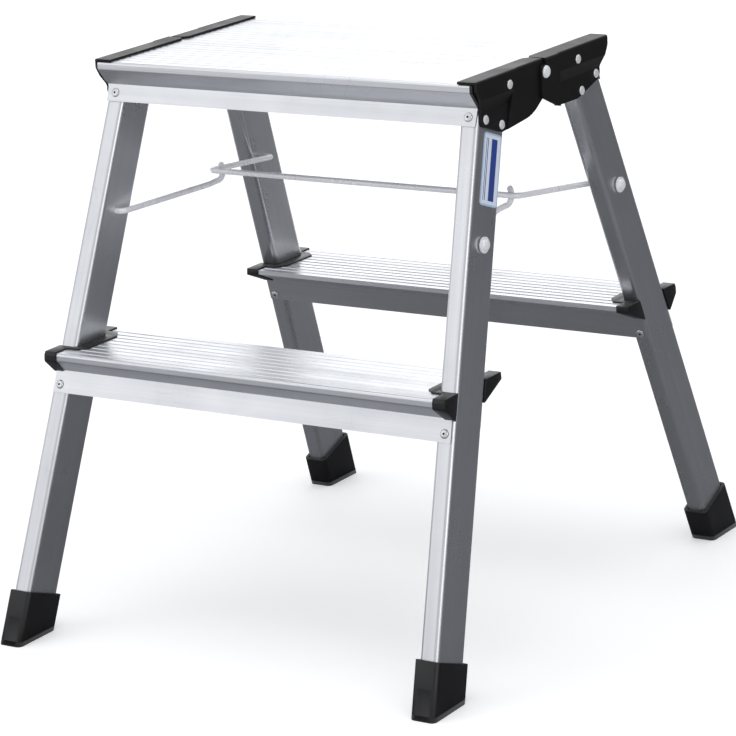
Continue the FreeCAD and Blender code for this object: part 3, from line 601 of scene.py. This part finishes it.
@dataclass(frozen=True)
class PrintedFilm:
    """Plastic film printed with plain stripes inside a border.

    Each band is the place of its middle across the film, and half its width.
    """

    ground: Colour = (0.74, 0.80, 0.90)
    border: Colour = (0.38, 0.53, 0.76)
    ink: Colour = (0.020, 0.055, 0.30)
    smudged: Colour = (0.70, 0.76, 0.84)
    smudge_share: float = 0.35
    smudge_size: float = 40.0
    roughness: float = 0.32
    roughness_swing: Span = (-0.05, 0.08)
    ground_half: Span = (0.0272, 0.0116)
    bands: tuple[Span, ...] = ((0.0066, 0.0005), (0.0088, 0.0004), (-0.0028, 0.0042))
    band_half_length: float = 0.0245

    def ink_mask(self, sketch: NodeSketch, axes: bpy.types.Node) -> Value:
        """Mask of the stripes.

        Args:
            sketch: The material's tree.
            axes: The node that gives the place along and across the film.

        Returns:
            1 on a stripe and 0 elsewhere.
        """
        inside = sketch.math("LESS_THAN", sketch.math("ABSOLUTE", axes.outputs["X"]), self.band_half_length)
        mask: Value = 0.0
        for middle, half in self.bands:
            offset = sketch.math("ABSOLUTE", sketch.math("SUBTRACT", axes.outputs["Y"], middle))
            band = sketch.math("MULTIPLY", sketch.math("LESS_THAN", offset, half), inside)
            mask = sketch.math("MAXIMUM", band, mask)
        return mask

    def border_mask(self, sketch: NodeSketch, axes: bpy.types.Node) -> Value:
        """Mask of the border.

        Args:
            sketch: The material's tree.
            axes: The node that gives the place along and across the film.

        Returns:
            1 on the border and 0 inside it.
        """
        past = [sketch.math("SUBTRACT", sketch.math("ABSOLUTE", axes.outputs[axis]), half)
                for axis, half in zip("XY", self.ground_half)]
        return sketch.math("GREATER_THAN", sketch.math("MAXIMUM", *past), 0.0)

    def material(self, groups: Groups, name: str, along: Vector, centre: Vector) -> bpy.types.Material:
        """Build the material.

        Args:
            groups: The shared node groups.
            name: The material's name.
            along: Direction of the stripes.
            centre: Middle of the film.

        Returns:
            The material.
        """
        surface = new_surface(name, along, centre)
        sketch = surface.sketch
        axes = sketch.add("ShaderNodeSeparateXYZ")
        sketch.join(surface.position, axes.inputs[0])
        wear = surface.use(groups.handling, Size=self.smudge_size)
        ground = sketch.blend(self.border_mask(sketch, axes), self.ground, self.border)
        smudges = sketch.math("MULTIPLY", wear.outputs["Cloud"], self.smudge_share)
        ground = sketch.blend(smudges, ground, self.smudged)
        printed = sketch.blend(self.ink_mask(sketch, axes), ground, self.ink)
        sketch.join(printed, surface.shader.inputs["Base Color"])
        surface.haze(wear.outputs["Cloud"], self.roughness, self.roughness_swing)
        return surface.material


@dataclass(frozen=True)
class Finishes:
    """Every finish of the stool."""

    stile: ExtrudedAluminium = ExtrudedAluminium()
    tread: ExtrudedAluminium = ExtrudedAluminium(
        light=(0.84, 0.85, 0.87), dark=(0.70, 0.71, 0.74), roughness=0.34, lines=700.0)
    rivet: BrightMetal = BrightMetal(
        light=(0.86, 0.87, 0.88), dark=(0.68, 0.69, 0.71), metallic=0.85)
    # Lighter, less metallic copy of the rivet metal for the hinge plates' rivets: a painted highlight on
    # their heads.
    plate_rivet: BrightMetal = BrightMetal(
        light=(0.93, 0.93, 0.93), dark=(0.78, 0.78, 0.79), metallic=0.35)
    # Near-black steel for the skirt rivets' mandrel ends, as painted shade in their recesses, and for their
    # rims, as a painted shadow and dark reflection.
    mandrel_and_painted_shade: BrightMetal = BrightMetal(
        light=(0.04, 0.04, 0.045), dark=(0.012, 0.012, 0.014), metallic=0.3, roughness=0.5)
    zinc: BrightMetal = BrightMetal(
        light=(0.95, 0.95, 0.97), dark=(0.86, 0.86, 0.90), metallic=0.15, smudge_size=60.0, skin_depth=0.0)
    plate: BlackSkin = BlackSkin(
        deep=(0.0075, 0.0070, 0.0072), dusty=(0.0135, 0.0125, 0.0128), specular=0.17,
        grains=900.0, grain_depth=0.18)
    plastic: BlackSkin = BlackSkin(
        deep=(0.005, 0.005, 0.0055), dusty=(0.011, 0.011, 0.012), specular=0.5,
        grains=1600.0, grain_depth=0.25)
    film: PrintedFilm = PrintedFilm()


def deselect() -> None:
    """Leave edit mode and deselect every object."""
    if bpy.context.object and bpy.context.object.mode != "OBJECT":
        bpy.ops.object.mode_set(mode="OBJECT")
    bpy.ops.object.select_all(action="DESELECT")


def settle(piece: bpy.types.Object) -> None:
    """Move a piece's place into its mesh, so that its object sits at the origin.

    Args:
        piece: The piece.
    """
    deselect()
    piece.select_set(True)
    bpy.context.view_layer.objects.active = piece
    bpy.ops.object.transform_apply(location=True, rotation=True, scale=True)


def dress(piece: bpy.types.Object, *materials: bpy.types.Material) -> bpy.types.Object:
    """Give a piece its materials.

    Args:
        piece: The piece.
        *materials: The materials, of which the first covers all its faces.

    Returns:
        The piece.
    """
    piece.data.materials.clear()
    for material in materials:
        piece.data.materials.append(material)
    return piece


def ease_edges(piece: bpy.types.Object, width: float, segments: int, angle: float, clamp: bool) -> None:
    """Round the sharp edges of the active piece.

    Args:
        piece: The piece.
        width: Width of the rounding.
        segments: Faces across the rounding.
        angle: Edges sharper than this are rounded.
        clamp: Whether a rounding stops where it would cross another.
    """
    bevel = piece.modifiers.new("eased_edges", "BEVEL")
    bevel.width = width
    bevel.segments = segments
    bevel.limit_method = "ANGLE"
    bevel.angle_limit = angle
    bevel.use_clamp_overlap = clamp
    bpy.ops.object.modifier_apply(modifier=bevel.name)


@dataclass
class EasedCopy:
    """A finer copy of a CAD node, with its sharp edges eased and its round faces smooth."""

    node: str
    edge: float
    sharp: float = SMOOTH_ANGLE
    segments: int = 2
    weld: float = 2e-6
    flat: float = math.radians(0.3)

    def build(self) -> bpy.types.Object:
        """Copy the node's mesh, ease it and let it stand for the node.

        Returns:
            The finished piece.
        """
        deselect()
        source = frame["nodes"][self.node]
        mesh = source.data.copy()
        piece = bpy.data.objects.new(self.node + "_eased", mesh)
        bpy.context.scene.collection.objects.link(piece)
        piece.select_set(True)
        bpy.context.view_layer.objects.active = piece
        if mesh.has_custom_normals:
            bpy.ops.mesh.customdata_custom_splitnormals_clear()
        bpy.ops.object.mode_set(mode="EDIT")
        bpy.ops.mesh.select_all(action="SELECT")
        bpy.ops.mesh.remove_doubles(threshold=self.weld)
        bpy.ops.mesh.dissolve_limited(angle_limit=self.flat)
        bpy.ops.object.mode_set(mode="OBJECT")
        if self.edge > 0:
            ease_edges(piece, self.edge, self.segments, self.sharp, clamp=False)
        bpy.ops.object.shade_smooth_by_angle(angle=self.sharp)
        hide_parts(self.node)
        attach(piece, source["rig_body"])
        return piece


def facing(direction: Vector, area: float) -> FaceTest:
    """Test for the larger faces that look in a direction.

    Args:
        direction: The direction.
        area: The area above which a face counts, in square metres.

    Returns:
        The test.
    """
    return lambda face: face.normal.dot(direction) > SQUARE_ON and face.area > area


def select_faces(piece: bpy.types.Object, wanted: FaceTest) -> None:
    """Select the faces that pass a test, and nothing else, and stay in edit mode.

    Args:
        piece: The piece.
        wanted: Test of a face.
    """
    bpy.ops.object.mode_set(mode="EDIT")
    bpy.ops.mesh.select_mode(type="FACE")
    bpy.ops.mesh.select_all(action="DESELECT")
    bpy.ops.object.mode_set(mode="OBJECT")
    for face in piece.data.polygons:
        face.select = wanted(face)
    bpy.ops.object.mode_set(mode="EDIT")


@dataclass
class Foot:
    """Moulded shoe on the end of a stile, with a shallow panel low on its face.

    Its heights are those of points on the stile's middle line. The block is the bar that
    the shoe is cut from.
    """

    half: Half
    side: Side
    wall: float = 0.0030
    fit: float = 0.0001
    height: float = 0.0365
    block: float = 0.075
    corner: float = 0.0044
    corner_segments: int = 6
    edge: float = 0.0004
    edge_segments: int = 3
    edge_angle: float = math.radians(40)
    bed: float = 0.0049
    panel_top: float = 0.0165
    panel_margin: float = 0.0018
    panel_depth: float = 0.0007
    whole_face: float = 1e-4
    panel_face: float = 5e-5

    @property
    def name(self) -> str:
        """Name of the foot's CAD node."""
        return self.half.label + "_" + self.side.label + "_foot"

    def middle(self, z: float) -> Vector:
        """Middle of the stile at a height."""
        return stile_point(self.half, self.side, z, STILE_WIDTH / 2)

    def stand_block(self) -> bpy.types.Object:
        """Stand a leaning block with round corners on the floor.

        Returns:
            The block, in edit mode.
        """
        bpy.ops.mesh.primitive_cube_add(size=1)
        piece = bpy.context.object
        piece.name = self.name + "_shoe"
        width = (STILE_WIDTH + 2 * self.wall) / math.cos(SPLAY)
        depth = (STILE_DEPTH + 2 * self.wall) / math.cos(LEAN)
        rise = self.middle(self.block) - self.middle(0.0)
        shear = Matrix(((width, 0, rise.x), (0, depth, rise.y), (0, 0, rise.z))).to_4x4()
        piece.data.transform(Matrix.Translation(self.middle(self.block / 2)) @ shear)
        for item in (*piece.data.polygons, *piece.data.edges, *piece.data.vertices):
            item.select = False
        for edge in piece.data.edges:
            low, high = (piece.data.vertices[index].co.z for index in edge.vertices)
            edge.select = abs(high - low) > self.block / 2
        bpy.ops.object.mode_set(mode="EDIT")
        bpy.ops.mesh.select_mode(type="EDGE")
        bpy.ops.mesh.bevel(offset=self.corner, segments=self.corner_segments, affect="EDGES")
        return piece

    def hollow(self, piece: bpy.types.Object, up: Vector) -> None:
        """Sink the stile's bed into the top.

        Args:
            piece: The shoe, cut to its height.
            up: Direction out of its top.
        """
        select_faces(piece, facing(up, self.whole_face))
        bpy.ops.mesh.inset(thickness=self.wall - self.fit - self.edge)
        down = stile_axis(self.half, self.side)
        bpy.ops.mesh.extrude_region_move(TRANSFORM_OT_translate={"value": down * (self.height / 2)})
        bpy.ops.object.mode_set(mode="OBJECT")
        for vertex in piece.data.vertices:
            if vertex.select:
                vertex.co += down * ((self.bed - vertex.co.z) / down.z)

    def press_panel(self, piece: bpy.types.Object, up: Vector) -> None:
        """Press the shallow panel into the face that looks out.

        Args:
            piece: The shoe.
            up: Direction out of its top.
        """
        out = self.half.face_normal
        seam = self.middle(self.panel_top)
        lower_part = facing(out, self.panel_face)
        select_faces(piece, facing(out, self.whole_face))
        bpy.ops.mesh.bisect(plane_co=seam, plane_no=up)
        select_faces(piece, lambda face: lower_part(face) and (face.center - seam).dot(up) < 0)
        bpy.ops.mesh.inset(thickness=self.panel_margin, depth=-self.panel_depth)
        bpy.ops.object.mode_set(mode="OBJECT")

    def build(self) -> bpy.types.Object:
        """Model the shoe and let it stand for the CAD foot.

        Returns:
            The finished piece.
        """
        deselect()
        piece = self.stand_block()
        up = Vector((0, -self.half.value * math.sin(LEAN), math.cos(LEAN)))
        bpy.ops.mesh.select_all(action="SELECT")
        bpy.ops.mesh.bisect(plane_co=self.middle(self.height), plane_no=up, use_fill=True, clear_outer=True)
        bpy.ops.object.mode_set(mode="OBJECT")
        ease_edges(piece, self.edge, self.edge_segments, self.edge_angle, clamp=True)
        self.hollow(piece, up)
        self.press_panel(piece, up)
        bpy.ops.object.shade_smooth_by_angle(angle=SMOOTH_ANGLE)
        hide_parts(self.name)
        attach(piece, self.half.body)
        return piece


def loose_parts(grid: bmesh.types.BMesh) -> list[set[bmesh.types.BMVert]]:
    """Find the separate parts of a mesh.

    Args:
        grid: The mesh.

    Returns:
        The vertices of each part.
    """
    parts = []
    left = set(grid.verts)
    while left:
        part = set()
        reached = [left.pop()]
        while reached:
            vertex = reached.pop()
            if vertex not in part:
                part.add(vertex)
                reached.extend(edge.other_vert(vertex) for edge in vertex.link_edges)
        left -= part
        parts.append(part)
    return parts


def mark_mandrel_and_painted_shade(mesh: bpy.types.Mesh, axis: Vector) -> None:
    """Give the mandrel's end and the rim of each skirt rivet the mesh's second, near-black material:
    painted shade in the recess and a painted shadow and dark reflection round the rim.

    Args:
        mesh: A group of rivets, each a loose part.
        axis: Direction of every rivet, square to X.
    """
    up = axis.cross(X_AXIS)
    grid = bmesh.new()
    grid.from_mesh(mesh)
    for rivet in loose_parts(grid):
        middle_x = (min(v.co.x for v in rivet) + max(v.co.x for v in rivet)) / 2
        middle_up = (min(v.co.dot(up) for v in rivet) + max(v.co.dot(up) for v in rivet)) / 2
        reach = {v: math.hypot(v.co.x - middle_x, v.co.dot(up) - middle_up) for v in rivet}
        for face in {face for vertex in rivet for face in vertex.link_faces}:
            spread = [reach[vertex] for vertex in face.verts]
            if max(spread) < RECESS_RADIUS or min(spread) > PAINTED_SHADE_RIM_RADIUS:
                face.material_index = 1
    grid.to_mesh(mesh)
    grid.free()


@dataclass
class StoolFrame:
    """One leaning frame: stiles, step, half platform, plates, caps and feet."""

    half: Half
    groups: Groups
    finishes: Finishes
    cap_edge: float = 0.0005

    def node(self, name: str) -> bpy.types.Object:
        """The CAD node of this frame with that name."""
        return frame["nodes"][self.half.label + "_" + name]

    def eased(self, name: str, edge: float = 0.0) -> bpy.types.Object:
        """An eased copy that stands for the CAD node of this frame with that name."""
        return EasedCopy(self.half.label + "_" + name, edge).build()

    def dress_stiles(self) -> list[bpy.types.Object]:
        """Run the die lines down each stile.

        Returns:
            The stiles.
        """
        stiles = []
        for side in Side:
            stile = self.node(side.label + "_stile")
            title = self.half.label + "_" + side.label + "_stile_aluminium"
            axis = stile_axis(self.half, side)
            stiles.append(dress(stile, self.finishes.stile.material(self.groups, title, axis)))
        return stiles

    def dress_treads(self, aluminium: bpy.types.Material) -> list[bpy.types.Object]:
        """Give both treads the ribbed extrusion's finish."""
        return [dress(self.node(name), aluminium) for name in ("platform", "step")]

    def dress_black_parts(self, steel: bpy.types.Material,
                          plastic: bpy.types.Material) -> list[bpy.types.Object]:
        """Finish the hinge plates, caps, feet and spacer.

        Args:
            steel: Finish of the plates.
            plastic: Finish of the mouldings.

        Returns:
            The pieces.
        """
        pieces = []
        for side in Side:
            pieces.append(dress(self.node(side.label + "_hinge_plate"), steel))
            pieces.append(dress(self.eased(side.label + "_step_cap", self.cap_edge), plastic))
            pieces.append(dress(Foot(self.half, side).build(), plastic))
        pieces.append(dress(self.node("platform_spacer"), plastic))
        return pieces

    def dress_plate_rivets(self, metal: bpy.types.Material) -> list[bpy.types.Object]:
        """Finish the rivets of the hinge plates with the lighter copy of the rivet metal, a painted
        highlight.
        """
        return [dress(self.eased("hinge_plate_rivets"), metal)]

    def dress_skirt_rivets(self, metal: bpy.types.Material,
                           mandrel_and_painted_shade: bpy.types.Material) -> list[bpy.types.Object]:
        """Finish the rivets of the skirts, with painted shade on the mandrels' ends in their heads and a
        painted shadow round their rims.

        Args:
            metal: Finish of the heads.
            mandrel_and_painted_shade: Finish of the mandrels' ends and of the rims, near black as painted
                shade and painted shadow.

        Returns:
            The groups of rivets.
        """
        pieces = []
        for name in ("platform_rivets", "step_rivets"):
            piece = dress(self.eased(name), metal, mandrel_and_painted_shade)
            # The mandrels' ends and the rims get the near-black material: painted shade and a painted
            # shadow.
            mark_mandrel_and_painted_shade(piece.data, self.half.face_normal)
            pieces.append(piece)
        return pieces


@dataclass
class StileLabel:
    """Printed film on the front right stile's outer face."""

    groups: Groups
    film: PrintedFilm
    width: float = 0.0262
    height: float = 0.0575
    corner: float = 0.0028
    corner_segments: int = 6
    thickness: float = 0.00018
    middle_z: float = 0.3982
    offset: float = 0.0036
    outline_gap: float = 0.0007

    def placement(self) -> Matrix:
        """Axes of the film on the stile.

        Returns:
            A matrix whose X runs down the stile, Y across it, and Z outwards.
        """
        down = stile_axis(Half.FRONT, Side.RIGHT)
        outwards = Vector((1, 0, math.tan(SPLAY))).normalized()
        across = outwards.cross(down).normalized()
        back = across if across.y > 0 else -across
        centre = stile_point(Half.FRONT, Side.RIGHT, self.middle_z) + back * self.offset
        return Matrix.Translation(centre) @ Matrix((down, across, outwards)).transposed().to_4x4()

    def build(self) -> bpy.types.Object:
        """Model the film with rounded corners and an outline.

        Returns:
            The finished piece.
        """
        deselect()
        bpy.ops.mesh.primitive_plane_add(size=1)
        piece = bpy.context.object
        piece.name = "stile_label"
        piece.scale = (self.height, self.width, 1)
        settle(piece)
        bpy.ops.object.mode_set(mode="EDIT")
        bpy.ops.mesh.select_all(action="SELECT")
        bpy.ops.mesh.bevel(offset=self.corner, segments=self.corner_segments, affect="VERTICES")
        bpy.ops.mesh.extrude_region_move(TRANSFORM_OT_translate={"value": (0, 0, self.thickness)})
        bpy.ops.mesh.inset(thickness=self.outline_gap)
        bpy.ops.mesh.inset(thickness=self.outline_gap)
        bpy.ops.object.mode_set(mode="OBJECT")
        place = self.placement()
        piece.matrix_world = place
        settle(piece)
        down = place.to_3x3() @ X_AXIS
        dress(piece, self.film.material(self.groups, "stile_label_film", down, place.translation))
        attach(piece, Half.FRONT.body)
        return piece


@dataclass
class Stay:
    """Bow, hooked links, their washers and the two hinge pins."""

    nodes: tuple[str, ...] = (
        "stay_bow", "stay_bow_washers",
        "left_stay_link", "left_stay_link_washer",
        "right_stay_link", "right_stay_link_washer",
        "left_hinge_pin", "right_hinge_pin",
    )
    crease: float = math.radians(55)

    def dress(self, zinc: bpy.types.Material) -> list[bpy.types.Object]:
        """Give every piece the plated finish."""
        return [dress(EasedCopy(name, 0.0, self.crease).build(), zinc) for name in self.nodes]


@dataclass
class Lamp:
    """A soft square lamp that points at the stool, with its angles in degrees."""

    name: str
    azimuth: float
    elevation: float
    distance: float
    size: float
    power: float
    aim_z: float = 0.25

    def build(self) -> None:
        """Hang the lamp out of the camera's sight."""
        away = outlook(math.radians(self.azimuth), math.radians(self.elevation))
        data = bpy.data.lights.new(self.name, "AREA")
        data.size = self.size
        data.energy = self.power
        lamp = bpy.data.objects.new(self.name, data)
        bpy.context.scene.collection.objects.link(lamp)
        lamp.location = Vector((0, 0, self.aim_z)) + away * self.distance
        lamp.rotation_euler = (-away).to_track_quat("-Z", "Y").to_euler()
        lamp.visible_camera = False


@dataclass
class ReflectedShadeSheet:
    """Grey sheet beside or below the stool, which only the stool's bright metal mirrors: a painted
    reflection of shade.

    It reaches over the two spans, and its height is that of the walls that hang at their
    far ends.
    """

    name: str
    span_x: Span
    span_y: Span
    colour: Colour
    height: float = 0.0
    above_floor: float = 0.004
    near_enough: float = 1e-4
    fold_scale: float = 6.0
    fold_shade: float = 0.85

    def raise_edge(self, piece: bpy.types.Object, axis: int, place: float) -> None:
        """Pull one far edge of the sheet up into a wall.

        Args:
            piece: The sheet.
            axis: 0 for the edge across X, 1 for the edge across Y.
            place: The edge's coordinate on that axis.
        """
        mesh = piece.data
        for item in (*mesh.polygons, *mesh.edges, *mesh.vertices):
            item.select = False
        for vertex in mesh.vertices:
            on_edge = abs(vertex.co[axis] - place) < self.near_enough
            vertex.select = on_edge and vertex.co.z < self.height / 2
        for edge in mesh.edges:
            edge.select = all(mesh.vertices[index].select for index in edge.vertices)
        bpy.ops.object.mode_set(mode="EDIT")
        bpy.ops.mesh.select_mode(type="EDGE")
        bpy.ops.mesh.extrude_region_move(TRANSFORM_OT_translate={"value": (0, 0, self.height)})
        bpy.ops.object.mode_set(mode="OBJECT")

    def painted_shade_material(self) -> bpy.types.Material:
        """Matt grey that paints shade into the bright metal's reflections, a little darker in painted
        folds.

        Returns:
            The material.
        """
        surface = new_surface(self.name + "_wool")
        folds = surface.sketch.noise(surface.position, self.fold_scale)
        darker = tuple(self.fold_shade * value for value in self.colour)
        colour = surface.sketch.blend(folds, darker, self.colour)
        surface.sketch.join(colour, surface.shader.inputs["Base Color"])
        surface.shader.inputs["Roughness"].default_value = 1.0
        surface.shader.inputs["Specular IOR Level"].default_value = 0.0
        return surface.material

    def build(self) -> None:
        """Lay the sheet and keep it out of every ray but reflections, where it paints shade."""
        deselect()
        middle = (sum(self.span_x) / 2, sum(self.span_y) / 2, self.above_floor)
        bpy.ops.mesh.primitive_plane_add(size=1, location=middle)
        piece = bpy.context.object
        piece.name = self.name
        piece.scale = (self.span_x[1] - self.span_x[0], self.span_y[1] - self.span_y[0], 1)
        settle(piece)
        if self.height > 0:
            self.raise_edge(piece, 0, self.span_x[1])
            self.raise_edge(piece, 1, self.span_y[1])
        dress(piece, self.painted_shade_material())
        piece.visible_camera = False
        piece.visible_diffuse = False
        piece.visible_shadow = False


@dataclass
class Studio:
    """White paper floor, soft lamps and a pale surround."""

    floor_half: float = 14.0
    floor_cells: int = 8
    floor_colour: Colour = (0.86, 0.86, 0.86)
    floor_shade: float = 0.985
    floor_cloud_scale: float = 3.0
    floor_roughness: float = 0.9
    floor_specular: float = 0.1
    floor_glow: float = 0.34
    surround: Colour = (0.63, 0.64, 0.66)
    lamps: tuple[Lamp, ...] = (
        Lamp("overhead_softbox", azimuth=-20.0, elevation=80.0, distance=2.2, size=2.0, power=16.0),
        Lamp("key_softbox", azimuth=-38.0, elevation=20.0, distance=2.6, size=1.8, power=4.9),
        Lamp("front_right_softbox", azimuth=48.0, elevation=18.0, distance=2.8, size=1.2, power=6.0),
        Lamp("back_softbox", azimuth=208.0, elevation=17.0, distance=3.4, size=2.4, power=16.0),
    )
    # Sheets seen only in reflections: painted shade on the metal's sides, undersides and noses.
    shade_sheets: tuple[ReflectedShadeSheet, ...] = (
        ReflectedShadeSheet("right_cloth", (0.25, 2.4), (-0.7, 2.6), (0.18, 0.18, 0.19), height=1.2),
        ReflectedShadeSheet("under_cloth", (-0.9, 0.25), (-0.5, 0.9), (0.19, 0.19, 0.20)),
        ReflectedShadeSheet("front_cloth", (-1.9, 0.25), (-2.4, -0.5), (0.42, 0.42, 0.45)),
    )

    def paper(self) -> bpy.types.Material:
        """White paper that glows a little for the camera and in reflections.

        Returns:
            The material.
        """
        surface = new_surface("floor_paper")
        sketch = surface.sketch
        clouds = sketch.noise(surface.position, self.floor_cloud_scale)
        darker = tuple(self.floor_shade * value for value in self.floor_colour)
        colour = sketch.blend(clouds, darker, self.floor_colour)
        sketch.join(colour, surface.shader.inputs["Base Color"])
        surface.shader.inputs["Roughness"].default_value = self.floor_roughness
        surface.shader.inputs["Specular IOR Level"].default_value = self.floor_specular
        path = sketch.add("ShaderNodeLightPath")
        seen = sketch.math("MAXIMUM", path.outputs["Is Camera Ray"], path.outputs["Is Glossy Ray"])
        seen = sketch.math("MAXIMUM", seen, path.outputs["Is Transmission Ray"])
        glow = sketch.math("MULTIPLY", seen, self.floor_glow)
        surface.shader.inputs["Emission Color"].default_value = (1.0, 1.0, 1.0, 1.0)
        sketch.join(glow, surface.shader.inputs["Emission Strength"])
        return surface.material

    def lay_floor(self) -> None:
        """Lay the paper on the floor."""
        deselect()
        bpy.ops.mesh.primitive_grid_add(
            x_subdivisions=self.floor_cells, y_subdivisions=self.floor_cells, size=2 * self.floor_half)
        floor = bpy.context.object
        floor.name = "studio_floor"
        dress(floor, self.paper())

    def build(self) -> None:
        """Lay the floor and the painted shade sheets, hang the lamps and set the surround."""
        self.lay_floor()
        for sheet in self.shade_sheets:
            sheet.build()
        for lamp in self.lamps:
            lamp.build()
        world = bpy.data.worlds.new("studio_air")
        world.use_nodes = True
        world.node_tree.nodes["Background"].inputs["Color"].default_value = (*self.surround, 1.0)
        bpy.context.scene.world = world


@dataclass
class PictureCamera:
    """Camera at the place from which the picture was taken, with its lens in millimetres."""

    focal_length: float = 162.995
    sensor: float = 36.0
    azimuth: float = 0.584418619
    elevation: float = 0.272725483
    roll: float = -0.0580094692
    sideways: float = -0.0019438
    lift: float = 0.0401037
    distance: float = 2.8220235
    aim_z: float = 0.235
    sight: float = 60.0

    def build(self) -> None:
        """Add the camera and make it the scene's."""
        away = outlook(self.azimuth, self.elevation)
        level = Z_AXIS.cross(away).normalized()
        upright = away.cross(level)
        across = level * math.cos(self.roll) + upright * math.sin(self.roll)
        upwards = upright * math.cos(self.roll) - level * math.sin(self.roll)
        place = Vector((0, 0, self.aim_z)) + away * self.distance
        place -= across * self.sideways + upwards * self.lift
        data = bpy.data.cameras.new("picture_camera")
        data.lens = self.focal_length
        data.sensor_width = self.sensor
        data.clip_end = self.sight
        camera = bpy.data.objects.new("picture_camera", data)
        bpy.context.scene.collection.objects.link(camera)
        axes = Matrix((across, upwards, away)).transposed()
        camera.matrix_world = Matrix.Translation(place) @ axes.to_4x4()
        bpy.context.scene.camera = camera


def main() -> None:
    """Set up the studio, dress the stool and report each piece."""
    logging.basicConfig(level=logging.INFO, format="%(name)s: %(message)s")
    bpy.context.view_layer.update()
    bpy.context.scene.view_settings.view_transform = "Standard"
    PictureCamera().build()
    Studio().build()
    groups = Groups()
    finishes = Finishes()
    aluminium = finishes.tread.material(groups, "tread_aluminium_ribbed", X_AXIS)
    steel = finishes.plate.material(groups, "black_stoved_steel")
    plastic = finishes.plastic.material(groups, "black_moulded_plastic")
    rivets = finishes.rivet.material(groups, "rivet_metal")
    # Lighter copy of the rivet metal: a painted highlight on the hinge plates' rivets.
    painted_lit_rivet_metal = finishes.plate_rivet.material(groups, "plate_rivet_metal")
    # Near black, for painted shade on the skirt rivets' mandrel ends and a painted shadow round their rims.
    mandrel_and_painted_shade = finishes.mandrel_and_painted_shade.material(groups, "mandrel_steel")
    zinc = finishes.zinc.material(groups, "zinc_plate")
    pieces = []
    for half in Half:
        stool_frame = StoolFrame(half, groups, finishes)
        pieces += stool_frame.dress_stiles()
        pieces += stool_frame.dress_treads(aluminium)
        pieces += stool_frame.dress_black_parts(steel, plastic)
        pieces += stool_frame.dress_plate_rivets(painted_lit_rivet_metal)
        pieces += stool_frame.dress_skirt_rivets(rivets, mandrel_and_painted_shade)
    pieces += Stay().dress(zinc)
    pieces.append(StileLabel(groups, finishes.film).build())
    for piece in pieces:
        log.info("%s: %s, %d faces", piece.name, piece.data.materials[0].name, len(piece.data.polygons))


if __name__ == "__main__":
    main()
